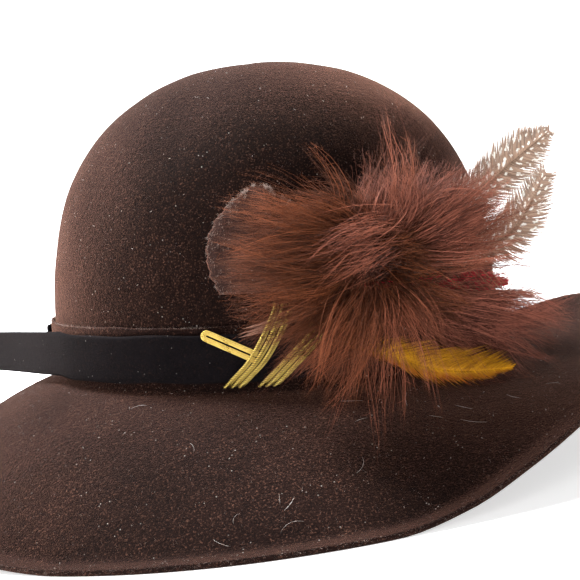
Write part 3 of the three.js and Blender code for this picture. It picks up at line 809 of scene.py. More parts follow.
def gold_material(name):
    """Metallic thread: painted shade darkens the seam between two plies, and a ply keeps its full colour
    where it stands out.
    """
    material, dye, shade = new_material(name)
    wear = dye.grain(160, 2, 0.6).between(0.3, 0.75)
    fine = dye.grain(2600, 2, 0.6).between(0.3, 0.7)
    # Painted shade: points near the seam are painted dark, and the smooth threads take a fixed share of it.
    lit_ply = dye.carried("off_seam").between(0.5, 0.95)
    bright = (wear * 0.4 + fine * 0.2 + 0.3).mix(GOLD_DEEP, GOLD_BRIGHT)
    shade({
        "Base Color": lit_ply.mix(GOLD_SEAM_SHADE, bright),
        "Metallic": 0.85,
        "Roughness": wear * 0.2 + 0.22,
        "Normal": dye.relief(fine, 0.00005),
    })
    return material


def wrap_parts(azimuth, top):
    """One wrap's cords, each led up over the strap and hooked in behind its upper edge."""
    on_band = band_off + BAND_THICK + CLEARANCE + CORD / 2
    on_strap = strap_face + CLEARANCE + CORD / 2
    route = (
        (on_band, STRAP_FOOT - 2 * CLEARANCE - CORD / 2),
        (on_strap + CLEARANCE, STRAP_FOOT - CORD / 2),
        (over_quills, STRAP_FOOT + CORD),
        (over_quills, STRAP_FOOT + STRAP_WIDTH / 2),
        (over_quills, top),
        (over_quills - CORD, top + CORD),
        (CLEARANCE + CORD / 2, max(top, band_top) + CORD),
    )
    parts = []
    for cord in range(CORDS_PER_WRAP):
        for thread in range(THREADS + 1):
            lane = cord - 1 + (0 if thread == 0 else THREAD_LANE + thread * THREAD_STEP)
            own = azimuth + lane * CORD_PITCH / along_foot
            sunk = TWIST_SUNK if thread == 0 else THREAD_SUNK
            path = np.array([
                beside(own + WRAP_SLANT * min(up - strap_top, 0) / along_foot, off - sunk, up)
                for off, up in route
            ])
            path = rounded(path)
            if thread == 0:
                parts += twisted(path, 1 / PLY_PITCH)
            else:
                smooth = tube(evenly(path, THREAD_STATIONS), THREAD_HALF)
                parts.append((smooth, np.full(smooth.shape[:2], THREAD_SHINE)))
    return parts


gold = gold_material("gold_thread")
front_top = float(stem_height(WRAP_FRONT)) + STEMS_HALF_WIDTH + CORD
for name, azimuth, top in (("front", WRAP_FRONT, front_top), ("back", WRAP_BACK, strap_top)):
    points, faces, off_seam = joined(wrap_parts(azimuth, top))
    wrap = made(f"gold_wrap_{name}", standing(points), faces, gold)
    carry(wrap, "off_seam", off_seam)
    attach(wrap, "root")
    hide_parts(f"gold_cord_wrap_{name}")

parts = []
for thread in range(LOOP_THREADS):
    half = LOOP_WIDTH / 2 + LOOP_CORD / 2 - LOOP_INSET - thread * LOOP_STEP
    bend = -np.pi / 2 - np.linspace(0, np.pi, 13)
    flat = np.concatenate([
        [[LOOP_FOOT, -half]],
        np.stack([half * np.cos(bend) - LOOP_LENGTH, half * np.sin(bend)], -1),
        [[LOOP_FOOT, half]],
    ])
    turned_x = flat[:, 0] * math.cos(LOOP_TILT) + flat[:, 1] * math.sin(LOOP_TILT)
    turned_y = flat[:, 1] * math.cos(LOOP_TILT) - flat[:, 0] * math.sin(LOOP_TILT)
    heights = strap_top - STEMS_HALF_WIDTH - LOOP_WIDTH - CLEARANCE + turned_y
    turns_at = STEMS["azimuth"][0] + turned_x / along_foot
    raised = LOOP_RAISE * (1 - abs(thread - (LOOP_THREADS - 1) / 2) / (LOOP_THREADS - 1))
    path = beside(turns_at, strap_face + CLEARANCE + LOOP_CORD / 2 + raised, heights)
    smooth = tube(evenly(rounded(path, 2), LOOP_STATIONS), LOOP_THREAD_HALF, sides=8)
    parts.append((smooth, np.full(smooth.shape[:2], LOOP_SHINE)))
points, faces, off_seam = joined(parts)
loop = made("gold_loop", standing(points), faces, gold)
carry(loop, "off_seam", off_seam)
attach(loop, "root")
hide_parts("gold_cord_loop")


# Leaf: a scrap of the brown felt cut to an oval and glued flat on the crown behind the plume.
# It is widest in the middle and ends in a blunt tip.
LEAF_THICK = 0.002
LEAF_FOOT = 0.0385
LEAF_HEIGHT = 0.042
LEAF_HALF_WIDTH = 0.023
LEAF_AZIMUTH = 88
LEAF_ROWS = {
    "height": (0, 0.15, 0.45, 0.7, 0.9, 1),
    "left": (0.72, 0.92, 1, 0.86, 0.56, 0.24),
    "right": (0.5, 0.8, 1, 0.9, 0.6, 0.25),
}
LEAF_SMOOTHING = (-0.09, -0.045, 0, 0.045, 0.09)
LEAF_ACROSS = 40
LEAF_UP = 44
LEAF_DARK = (0.018, 0.009, 0.008, 1)
LEAF_LIGHT = (0.06, 0.032, 0.026, 1)


def leaf_half(side, level):
    """The leaf's half width at a level, its corners rounded off."""
    near = [np.interp(level + step, LEAF_ROWS["height"], LEAF_ROWS[side]) for step in LEAF_SMOOTHING]
    crown = math.sqrt(max(1 - level**6, 0)) if level < 1 else 0.02
    return sum(near) / len(near) * (0.25 + 0.75 * crown)


leaf_levels = np.sin(np.linspace(0, np.pi / 2, LEAF_UP))
leaf_sections = []
for level in leaf_levels:
    left = leaf_half("left", level)
    right = leaf_half("right", level)
    nibble = 0.02 * math.sin(level * 47) + 0.012 * math.sin(level * 101 + 1)
    across = np.linspace(-(left + nibble), right + nibble, LEAF_ACROSS + 1) * LEAF_HALF_WIDTH
    rim = 1 - np.abs(np.linspace(-1, 1, LEAF_ACROSS + 1)) ** 9
    turns_at = LEAF_AZIMUTH + across / along_foot
    height = LEAF_FOOT + level * LEAF_HEIGHT + 0 * across
    upper = on_crown(turns_at, height, CLEARANCE + LEAF_THICK * (0.35 + 0.65 * rim * (1 - level**12)))
    lower = on_crown(turns_at, height, CLEARANCE)[::-1]
    leaf_sections.append(np.concatenate([upper, lower]))
leaf_sections = standing(np.array(leaf_sections))
leaf_felt = felt_material("leaf_felt", LEAF_DARK, LEAF_LIGHT, sheen=0.5, lint=0.8)
leaf_faces = [face[::-1] for face in loft_faces(len(leaf_sections), leaf_sections.shape[1])]
leaf = made("leaf", leaf_sections, leaf_faces, leaf_felt)
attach(leaf, "root")
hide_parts("felt_leaf")


# Leaf fray: the leaf's cut edge has frayed to pale grey fuzz, which stands in uneven tufts.
# It is thickest round the tip and thins out inwards from both sides.
LEAF_FRAY = 4200
FRAY_COLUMNS = 10
FRAY_TOP_ROWS = 8
FRAY_LENGTHS = (0.0004, 0.0017)
FRAY_HALF = 0.00004
TUFT_SIZE = 0.0022
TUFT_SIZE_SMALL = 0.0009
TUFT_LEAST = 0.15
FRAY_DARK = (0.05, 0.03, 0.025, 1)
FRAY_LIGHT = (0.38, 0.30, 0.26, 1)
row = chance.uniform(0, LEAF_UP - 1.01, LEAF_FRAY)
low, part = row.astype(int), (row % 1)[:, None]
column = np.where(chance.random(LEAF_FRAY) < 0.5, 0, LEAF_ACROSS)
turned_in = np.where(column > 0, -1, 1)
near_edge = (chance.random(LEAF_FRAY) ** 1.6 * FRAY_COLUMNS).astype(int)
anywhere = chance.integers(0, LEAF_ACROSS // 2, LEAF_FRAY)
inward = turned_in * np.where(low > LEAF_UP - FRAY_TOP_ROWS, anywhere, near_edge)
roots = leaf_sections[low, column + inward] * (1 - part) + leaf_sections[low + 1, column + inward] * part
tufted = uneven(roots, TUFT_SIZE) + uneven(roots, TUFT_SIZE_SMALL) * 0.6 > TUFT_LEAST
roots = roots[tufted]
centre = leaf_sections[LEAF_UP // 2, LEAF_ACROSS // 2]
outward = unit(roots - centre)
normal = unit(on_crown(LEAF_AZIMUTH, LEAF_FOOT, 1.0) - on_crown(LEAF_AZIMUTH, LEAF_FOOT, 0.0))
lie = unit(outward * 0.6 + tilted(normal) * 0.5 + chance.normal(size=roots.shape) * 0.45)
length = chance.uniform(*FRAY_LENGTHS, (len(roots), 1))
bent = roots + lie * length * 0.5 + chance.normal(size=roots.shape) * 0.00012
lines = np.stack([roots, bent, roots + lie * length], 1)
halves = np.broadcast_to([1, 0.8, 0], lines.shape[:2]) * FRAY_HALF
frayed_wool = hair_material("frayed_wool", FRAY_DARK, FRAY_LIGHT, sheen=0.5, rough=0.8)
along = (0, 0, 0, 0.6, 0.6, 0.6, 1)
fray = fibre_piece("leaf_fray", lines, halves, frayed_wool, chance.random(len(roots)), along)
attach(fray, "root")


# Feathers under and beside the plume: a golden one below, a scrap of red, and two speckled guinea
# feathers behind. Each has a quill and a vane of fine barbs that lie edge to edge.
PLUME_AZIMUTH = 110
PLUME_SEAT = 0.046
PLUME_REACH = 0.060
FEATHER_THICK = 0.0009
VANE_TAPER = (1, 1, 0.95, 0.85, 0.6, 0)
VANE_POINTS = 3 * len(VANE_TAPER) - 2
VANE_CUP = 0.0006
VANE_QUILL_HALF = 0.0003
BARB_STRAY = 0.00012
BARB_LEAST = 0.00012
DOTS_ALONG = 25
DOTS_ACROSS = 2.6
DOT_EDGE = (0.03, 0.055)
DOT_WHITE = (0.85, 0.82, 0.76, 1)
HEAD_HALF_DEPTH = 0.014
GOLDEN_HALF_WIDTH = 0.0064
RED_HALF_WIDTH = 0.0042
GUINEA_HALF_WIDTH = 0.0104
GOLDEN_FEATHER = {
    "along": (-0.18, 0.12, 0.34, 0.6, 0.89),
    "up": (-0.46, -0.57, -0.66, -0.72, -0.75),
    "out": (0.13, 0.25, 0.3, 0.34, 0.37),
    "half": (0.4, 0.9, 1, 0.75, 0.12),
}
RED_FEATHER = {
    "along": (0.02, 0.4, 0.8, 1.06),
    "up": (-0.13, -0.15, -0.17, -0.19),
    "out": (0, 0, 0.03, 0.06),
    "half": (0.25, 0.7, 1, 0.15),
}
GUINEA_FRONT = {
    "along": (0.03, 0.45, 0.86, 1.16, 1.43),
    "up": (-0.08, 0.2, 0.42, 0.64, 0.82),
    "out": (0, 0, 0.04, 0.08, 0.12),
    "half": (0.15, 0.6, 1, 1, 0.2),
}
GUINEA_BACK = {
    "along": (0.03, 0.6, 1.12, 1.42),
    "up": (-0.1, 0.02, 0.14, 0.54),
    "out": (0, 0, 0, 0.06),
    "half": (0.15, 0.6, 1.1, 0.4),
}
GOLDEN_DARK = (0.19, 0.062, 0.002, 1)
GOLDEN_LIGHT = (0.74, 0.35, 0.004, 1)
GOLDEN_BURNT = (0.30, 0.062, 0.006, 1)
RED_DARK = (0.42, 0.008, 0.022, 1)
RED_LIGHT = (0.92, 0.025, 0.065, 1)
GUINEA_ROOT = (0.022, 0.009, 0.007, 1)
GUINEA_DARK = (0.17, 0.095, 0.06, 1)
GUINEA_LIGHT = (0.52, 0.34, 0.235, 1)
seat = on_crown(float(PLUME_AZIMUTH), PLUME_SEAT, 0.0)
out_axis = unit(on_crown(float(PLUME_AZIMUTH), PLUME_SEAT, 1.0) - seat)
along_axis = unit(np.cross([0, 0, 1], out_axis))
up_axis = np.cross(out_axis, along_axis)
layer = FEATHER_THICK + CLEARANCE
vane_base = CLEARANCE + FEATHER_THICK / 2
head_out = CLEARANCE + 3 * layer + HEAD_HALF_DEPTH
plume_axes = tilted(np.array([along_axis, up_axis, out_axis]))


def from_seat(places):
    """Turns places along, up and out from the plume's seat into places on the standing hat."""
    return standing(seat) + np.asarray(places) @ plume_axes


def smooth_table(table, columns, count):
    """Reads columns of a feather's table at equal steps, on smooth curves through its rows."""
    rows_in = np.linspace(0, 1, len(table["along"]))
    at = np.linspace(0, 1, count)
    read = []
    for column in columns:
        values = np.array(table[column], float)
        bend = np.gradient(values, rows_in)
        low = np.clip(np.searchsorted(rows_in, at, side="right") - 1, 0, len(rows_in) - 2)
        gap = rows_in[low + 1] - rows_in[low]
        t = (at - rows_in[low]) / gap
        read.append(
            values[low] * (1 - t * t * (3 - 2 * t)) + values[low + 1] * t * t * (3 - 2 * t)
            + bend[low] * gap * t * (1 - t) ** 2 + bend[low + 1] * gap * t * t * (t - 1)
        )
    return read


def vane(table, half_width, base, barbs, sweep, quill_side=0, ragged=0.1, clump=1):
    """A feather's quill and barbs, with the numbers that its material reads.

    sweep is how far a barb leans to the tip, as a share of its length, quill_side where the quill lies
    across the feather, from -1 to 1, ragged how uneven its edges are, and clump how many barbs draw
    together at their tips, like the teeth of a comb.
    """
    along, up, outward, half = smooth_table(table, ("along", "up", "out", "half"), barbs)
    spine = np.stack([along, up, outward], -1) * PLUME_REACH + [0, 0, base]
    run = unit(np.gradient(spine, axis=0))
    across = unit(np.cross([0, 0, 1], run))
    half = np.maximum(half, 0.08) * half_width
    shaft = spine + across * (half * quill_side)[:, None]
    lines, sides, spots = [], [], []
    order = np.arange(barbs)
    step = np.linalg.norm(np.diff(spine, axis=0), axis=1).mean()
    draw_in = ((order // clump + 0.5) * clump - order - 0.5) * step * 0.8
    for side_of in (-1, 1):
        reach = half * (1 - side_of * quill_side)
        grown = reach * (1 + chance.normal(0, ragged, barbs))
        s = np.linspace(0, 1, len(VANE_TAPER))[None, :, None]
        lean_on = run * (grown * sweep)[:, None] + chance.normal(size=run.shape) * BARB_STRAY
        swing = across * (side_of * grown)[:, None]
        barb = shaft[:, None] + swing[:, None] * s + lean_on[:, None] * s**1.4
        barb = barb + (run * draw_in[:, None])[:, None] * s**4
        barb[..., 2] += chance.normal(0, BARB_STRAY, (barbs, 1)) * s[..., 0] + VANE_CUP * s[..., 0] ** 2
        lines.append(barb)
        sides.append(np.full(barbs, side_of))
        spots.append(np.linspace(0, 1, barbs))
    lines = np.concatenate(lines)
    halves_of = np.broadcast_to(VANE_TAPER, lines.shape[:2]) * max(step * 1.1, BARB_LEAST)
    points, faces = strands(from_seat(lines), halves_of, 0.3, np.broadcast_to(plume_axes[2], lines.shape))
    shaft_points, shaft_faces = strands(
        from_seat(shaft)[None], np.linspace(1, 0.25, barbs)[None] * VANE_QUILL_HALF, 0.8,
        np.broadcast_to(plume_axes[2], (1, barbs, 3)),
    )
    faces = faces + (np.array(shaft_faces) + len(points)).tolist()
    barb_tint = np.repeat(chance.random(len(lines)), VANE_POINTS)
    tint = np.concatenate([barb_tint, np.full(len(shaft_points), 0.9)])
    by_station = np.repeat(np.linspace(0, 1, len(VANE_TAPER)), 3)[:-2]
    signed = np.repeat(np.concatenate(sides), VANE_POINTS) * np.tile(by_station, len(lines))
    across_at = np.concatenate([signed, np.zeros(len(shaft_points))])
    down_shaft = np.repeat(np.linspace(0, 1, barbs), 3)[:-2]
    down_at = np.concatenate([np.repeat(np.concatenate(spots), VANE_POINTS), down_shaft])
    return np.concatenate([points, shaft_points]), faces, tint, across_at, down_at


def vane_material(name, dark, light, tip_share, burnt_dye, burnt_from=(0.3, 0.7)):
    """A feather's dyed barbs, lighter here and there, pale at the tip and browner along one edge."""
    material, dye, shade = new_material(name)
    own = dye.carried("own_tint")
    down = dye.carried("down_feather")
    patch = dye.grain(170, 2, 0.6).between(0.3, 0.7)
    pale = down.between(1 - tip_share, 1)
    burnt = dye.carried("across_feather").between(*burnt_from)
    colour = (own * 0.45 + patch * 0.35 + pale * 0.4).mix(dark, light)
    shade({
        "Base Color": (burnt * own.between(0.1, 0.7)).mix(colour, burnt_dye),
        "Roughness": 0.5,
        "Specular IOR Level": 0.2,
    })
    return material


def speckled_material(name, dark, light):
    """Guinea fowl barbs: tan with loose rows of round white spots, and darker towards the root."""
    material, dye, shade = new_material(name)
    own = dye.carried("own_tint")
    down = dye.carried("down_feather")
    across_at = dye.carried("across_feather")
    stray = dye.grain(330, 1, 0.5) - 0.5
    row_of = across_at.maths("ABSOLUTE", across_at) * DOTS_ACROSS + stray * 0.9
    beat = down * DOTS_ALONG + row_of.maths("FLOOR", row_of) * 0.5 + stray * 1.2
    u = beat.maths("FRACT", beat) - 0.5
    v = row_of.maths("FRACT", row_of) - 0.5
    dot = 1 - (u * u + v * v).between(*DOT_EDGE)
    ground = (own * 0.7 + 0.1).mix(dark, light)
    shade({
        "Base Color": down.between(0.25, 0.5).mix(GUINEA_ROOT, dot.mix(ground, DOT_WHITE)),
        "Roughness": 0.5,
        "Sheen Weight": 0.2,
    })
    return material


def feather_piece(name, node, material, built):
    """A feather made by vane, with the numbers that its material reads on its points."""
    points, faces, tint, across_at, down_at = built
    piece = made(name, points, faces, material)
    carry(piece, "own_tint", tint)
    carry(piece, "across_feather", across_at)
    carry(piece, "down_feather", down_at)
    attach(piece, "root")
    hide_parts(node)


feather_piece(
    "golden_vane", "golden_feather",
    vane_material("golden_barbs", GOLDEN_DARK, GOLDEN_LIGHT, 0.12, GOLDEN_BURNT, burnt_from=(-0.25, -0.8)),
    vane(
        GOLDEN_FEATHER, GOLDEN_HALF_WIDTH, 0,
        barbs=460, sweep=1.5, quill_side=-0.35, ragged=0.25, clump=5,
    ),
)
feather_piece(
    "red_vane", "red_feather",
    vane_material("red_barbs", RED_DARK, RED_LIGHT, 0.1, RED_LIGHT),
    vane(RED_FEATHER, RED_HALF_WIDTH, vane_base, barbs=300, sweep=1.6, ragged=0.2),
)
speckled = speckled_material("guinea_barbs", GUINEA_DARK, GUINEA_LIGHT)
feather_piece(
    "guinea_vane_back", "guinea_feather_back", speckled,
    vane(GUINEA_BACK, GUINEA_HALF_WIDTH, vane_base + layer, barbs=360, sweep=0.75, clump=7),
)
feather_piece(
    "guinea_vane_front", "guinea_feather_front", speckled,
    vane(GUINEA_FRONT, GUINEA_HALF_WIDTH, vane_base + 2 * layer, barbs=420, sweep=0.75, clump=7),
)


# Marabou plume: soft turkey down dyed reddish brown and tied in a bunch, glued to the crown's side.
# Its long barbs draw together into locks that fan out all round, over a bed of short down.
# Along and up are places seen from outside, in shares of the plume's reach; sink is how deep a lock
# starts, rise how far its tip stands out from the bunch, and bow and sway how it bends on the way.
# The pink column is how rosy its dye is; below 0 it paints the lock darker, as painted shade on the locks
# that lie deep in the bunch.
BARB_HALF = 0.000105
VEER = 0.13
WISP_TINT = (-0.18, 0.42)
BEND = 0.055
ROOT_SPREAD = 0.05
ROOT_OUT = 0.009
LOFT = 0.019
BARBS_PER_WISP = 9
DOWN_HALF = 0.00005
# The next dark brown and the dark pink after it are partly painted shade, for barb roots and inner layers of
# the bunch.
BROWN_DARK_AND_SHADE = (0.005, 0.0013, 0.0006, 1)
BROWN_LIGHT = (0.27, 0.075, 0.026, 1)
PINK_DARK_AND_SHADE = (0.014, 0.0035, 0.0024, 1)
PINK_LIGHT = (0.52, 0.175, 0.115, 1)
OVER_STRAP = 0.0068
OVER_FELT = 0.0006
LOCK_COLUMNS = (
    "from_along", "from_up", "to_along", "to_up", "sink", "rise", "bow", "sway", "girth", "barbs", "pink_and_shade",
)
FRONT_LOCKS = (
    (-0.05, 0.20, -0.76, 0.47, -0.05, -0.22, 0.06, 0.03, 0.09, 120, -0.04),
    (-0.05, 0.18, -0.90, 0.40, -0.02, -0.26, 0.06, 0.05, 0.09, 170, -0.14),
    (-0.06, 0.14, -1.00, 0.29, 0.0, -0.28, 0.06, 0.06, 0.09, 190, -0.22),
    (-0.07, 0.09, -1.05, 0.19, 0.02, -0.28, 0.07, 0.04, 0.09, 200, -0.04),
    (-0.08, 0.04, -1.06, 0.09, 0.02, -0.26, 0.08, 0.02, 0.09, 200, -0.14),
    (-0.08, -0.02, -1.05, -0.03, 0.02, -0.24, 0.08, -0.02, 0.09, 200, -0.22),
    (-0.07, -0.06, -1.02, -0.14, 0.02, -0.22, 0.09, -0.03, 0.09, 190, -0.04),
    (-0.06, -0.10, -0.98, -0.26, 0.02, -0.18, 0.09, -0.03, 0.09, 170, -0.14),
    (-0.05, -0.13, -0.92, -0.38, 0.02, -0.12, 0.1, -0.03, 0.08, 140, -0.22),
    (-0.04, -0.15, -0.84, -0.50, 0.0, -0.05, 0.1, -0.03, 0.07, 90, -0.04),
    (-0.04, -0.13, -1.16, -0.78, 0.02, 0.04, 0.08, -0.03, 0.03, 9, 0.2),
    (-0.04, -0.13, -1.04, -0.62, 0.02, 0.02, 0.08, -0.02, 0.04, 14, 0.2),
    (-0.12, 0.22, -0.80, 0.74, -0.05, -0.18, 0.05, 0.10, 0.02, 8, 0.0),
    (-0.10, 0.24, -0.54, 0.86, -0.05, -0.12, 0.05, 0.12, 0.02, 10, 0.0),
    (-0.04, 0.24, -0.34, 0.80, -0.05, -0.10, 0.05, 0.10, 0.02, 10, 0.0),
    (-0.02, 0.22, -0.48, 0.50, -0.05, -0.08, 0.08, 0.30, 0.03, 14, 0.1),
    (-0.02, 0.20, -0.60, 0.60, -0.05, -0.12, 0.05, -0.10, 0.03, 12, 0.1),
    (-0.02, 0.18, -0.54, 0.48, -0.05, -0.15, 0.06, 0.03, 0.10, 110, 0.1),
    (0.00, 0.18, -0.34, 0.50, -0.05, -0.10, 0.06, 0.02, 0.10, 100, 0.1),
    (0.02, 0.18, -0.12, 0.50, -0.05, -0.06, 0.05, 0.0, 0.10, 100, 0.3),
    (0.24, 0.22, -0.56, 0.06, 0.04, -0.06, 0.02, 0.12, 0.15, 130, 0.6),
    (0.16, 0.16, -0.46, -0.26, 0.06, -0.02, 0.02, 0.12, 0.15, 150, 0.8),
    (0.10, 0.10, -0.60, -0.36, 0.04, -0.02, 0.02, 0.08, 0.12, 90, 0.4),
    (0.06, 0.02, 0.44, -0.02, 0.05, -0.12, 0.02, 0.04, 0.12, 120, -0.5),
    (0.04, -0.02, 0.48, -0.22, 0.05, -0.08, 0.02, 0.04, 0.13, 140, -0.6),
    (0.04, -0.06, 0.34, -0.40, 0.05, -0.06, 0.02, 0.04, 0.12, 110, -0.5),
    (0.10, -0.10, 0.70, -0.46, 0.02, -0.06, 0.02, 0.04, 0.11, 90, -0.5),
    (0.00, -0.06, 0.06, -0.42, 0.05, 0.02, 0.02, 0.04, 0.10, 70, -0.4),
    (0.02, 0.10, 0.20, 0.34, 0.04, -0.02, 0.02, 0.04, 0.10, 60, -0.2),
    (-0.04, -0.12, -0.76, -0.60, 0.05, 0.04, 0.08, 0.02, 0.08, 90, 0.1),
    (-0.04, -0.12, -0.62, -0.70, 0.05, 0.10, 0.08, 0.02, 0.08, 110, 0.1),
    (-0.04, -0.12, -0.56, -0.94, 0.05, 0.16, 0.08, 0.02, 0.09, 130, 0.1),
    (-0.04, -0.12, -0.42, -0.98, 0.05, 0.18, 0.08, 0.02, 0.08, 80, 0.1),
    (-0.14, -0.14, -0.66, -0.84, 0.08, 0.16, 0.08, 0.02, 0.07, 90, 0.1),
    (-0.14, -0.14, -0.76, -0.52, 0.04, 0.04, 0.08, 0.02, 0.07, 60, 0.1),
    (-0.04, -0.12, -0.47, -0.78, 0.05, 0.12, 0.08, 0.02, 0.08, 110, 0.2),
    (-0.02, -0.12, -0.34, -0.70, 0.05, 0.1, 0.08, 0.02, 0.08, 56, 0.2),
    (-0.02, -0.12, -0.22, -0.66, 0.05, 0.12, 0.06, 0.02, 0.08, 56, 0.3),
    (0.00, -0.12, -0.08, -0.62, 0.05, 0.14, 0.06, 0.02, 0.08, 50, 0.3),
)
BACK_LOCKS = (
    (0.06, 0.18, 0.04, 0.60, -0.05, -0.02, 0.04, 0.0, 0.09, 90, 0.7),
    (0.08, 0.18, 0.20, 0.62, -0.05, 0.0, 0.04, 0.02, 0.09, 100, 0.8),
    (0.14, 0.16, 0.36, 0.64, -0.06, 0.0, 0.04, 0.0, 0.09, 110, 0.8),
    (0.18, 0.16, 0.52, 0.64, -0.06, 0.0, 0.04, -0.02, 0.09, 80, 0.8),
    (0.20, 0.16, 0.68, 0.62, -0.06, 0.0, 0.04, -0.02, 0.09, 90, 0.8),
    (0.08, 0.20, 0.20, 0.88, -0.06, 0.0, 0.04, 0.06, 0.10, 30, 0.6),
    (0.12, 0.20, 0.30, 1.06, -0.06, 0.0, 0.04, 0.05, 0.09, 26, 0.5),
    (0.12, 0.20, 0.10, 1.00, -0.06, 0.0, 0.04, -0.12, 0.08, 20, 0.5),
    (0.14, 0.20, 0.40, 1.00, -0.06, 0.0, 0.04, 0.02, 0.10, 30, 0.1),
    (0.16, 0.18, 0.57, 0.88, -0.06, 0.0, 0.04, -0.04, 0.08, 30, 0.1),
    (0.20, 0.18, 0.66, 0.78, -0.06, 0.0, 0.04, -0.04, 0.08, 30, 0.2),
    (0.10, 0.20, 0.10, 0.72, -0.06, 0.0, 0.04, 0.08, 0.07, 22, 0.1),
    (0.22, 0.16, 0.80, 0.56, -0.06, 0.02, 0.05, 0.0, 0.10, 170, 0.7),
    (0.24, 0.14, 0.94, 0.54, -0.06, 0.02, 0.05, 0.0, 0.11, 200, 0.8),
    (0.26, 0.12, 1.06, 0.50, -0.06, 0.02, 0.05, 0.02, 0.11, 200, 0.8),
    (0.26, 0.10, 1.12, 0.40, -0.06, 0.0, 0.05, 0.02, 0.11, 200, 0.9),
    (0.26, 0.08, 1.16, 0.28, -0.08, 0.0, 0.05, 0.02, 0.10, 180, 0.7),
    (0.26, 0.06, 1.16, 0.14, -0.10, -0.02, 0.05, 0.0, 0.10, 150, 0.5),
    (0.26, 0.04, 1.14, 0.02, -0.12, -0.06, 0.03, 0.0, 0.07, 90, 0.4),
    (0.26, 0.10, 1.48, 0.26, -0.08, 0.02, 0.05, -0.10, 0.04, 22, 0.4),
    (0.26, 0.10, 1.36, 0.40, -0.08, 0.02, 0.05, -0.10, 0.04, 20, 0.4),
    (0.26, 0.08, 1.34, 0.16, -0.08, 0.02, 0.05, -0.06, 0.05, 22, 0.4),
    (0.26, 0.02, 1.28, -0.04, -0.10, -0.02, 0.05, -0.04, 0.04, 14, 0.4),
    (0.40, -0.22, 1.38, -0.32, -0.18, -0.08, 0.03, -0.04, 0.11, 190, 1),
    (0.38, -0.22, 1.50, -0.44, -0.18, -0.08, 0.03, -0.04, 0.13, 240, 1),
    (0.36, -0.22, 1.54, -0.57, -0.18, -0.08, 0.03, -0.04, 0.13, 250, 1),
    (0.34, -0.22, 1.50, -0.70, -0.18, -0.10, 0.03, -0.03, 0.13, 230, 1),
    (0.32, -0.22, 1.34, -0.84, -0.22, -0.14, 0.03, -0.03, 0.12, 180, 0.9),
    (0.30, -0.22, 1.16, -0.93, -0.22, -0.14, 0.04, -0.02, 0.11, 110, 0.8),
    (0.28, -0.22, 0.96, -0.96, -0.22, -0.12, 0.04, 0.0, 0.09, 50, 0.6),
    (0.02, -0.12, 0.10, -0.60, 0.05, 0.14, 0.06, 0.02, 0.08, 44, 0.3),
    (0.06, -0.12, 0.28, -0.58, 0.05, 0.12, 0.06, 0.02, 0.07, 30, 0.3),
    (0.10, -0.12, 0.46, -0.56, 0.05, 0.10, 0.06, 0.02, 0.06, 20, 0.3),
    (0.22, -0.02, 0.62, -0.30, 0.0, 0.04, 0.06, 0.06, 0.03, 9, 0.4),
    (0.22, 0.02, 0.50, -0.52, 0.0, 0.04, 0.10, 0.12, 0.03, 9, 0.4),
)
# Thin pointed wisps that hang over the strap and the brim, spread evenly between two angles.
WISPS = 46
WISP_ANGLES = (-140, -54)
WISP_RISE = ((-140, -108, -90, -66, -50), (0.08, 0.28, 0.40, 0.30, 0.18))
# The red feather shows through a parting in the plume's back half.
PARTING_UP = -0.165
PARTING_HALF = 0.07
PARTING_ALONG = (0.5, 0.7, 1.1, 1.3)
PARTED_SHARE = 0.82
BARB_COUNT_SCALE = 1.42
DOWN_PER_BARB = 2.3
BARB_STATIONS = 7
DOWN_LENGTH = 0.0038
DOWN_ALONG = (0.3, 0.3, 0.3, 0.6, 0.6, 0.6, 1)
TINT_STRAY = 0.12


def kept_off(lines):
    """Lifts what would lie in the felt or the strap out to a little above them."""
    flat = lines.reshape(-1, 3).copy()
    level = (flat[:, 0] - shift[0]) * math.sin(CROWN_LEAN) + (flat[:, 2] - shift[2]) * math.cos(CROWN_LEAN)
    needed = np.where((level > 0) & (level < band_top + CORD), OVER_STRAP, OVER_FELT)
    for index, place in enumerate(flat):
        foot, normal, _, _ = skin.find_nearest(Vector(place))
        if (Vector(place) - foot).dot(normal) < needed[index]:
            flat[index] = foot + normal * float(needed[index])
    return flat.reshape(lines.shape)


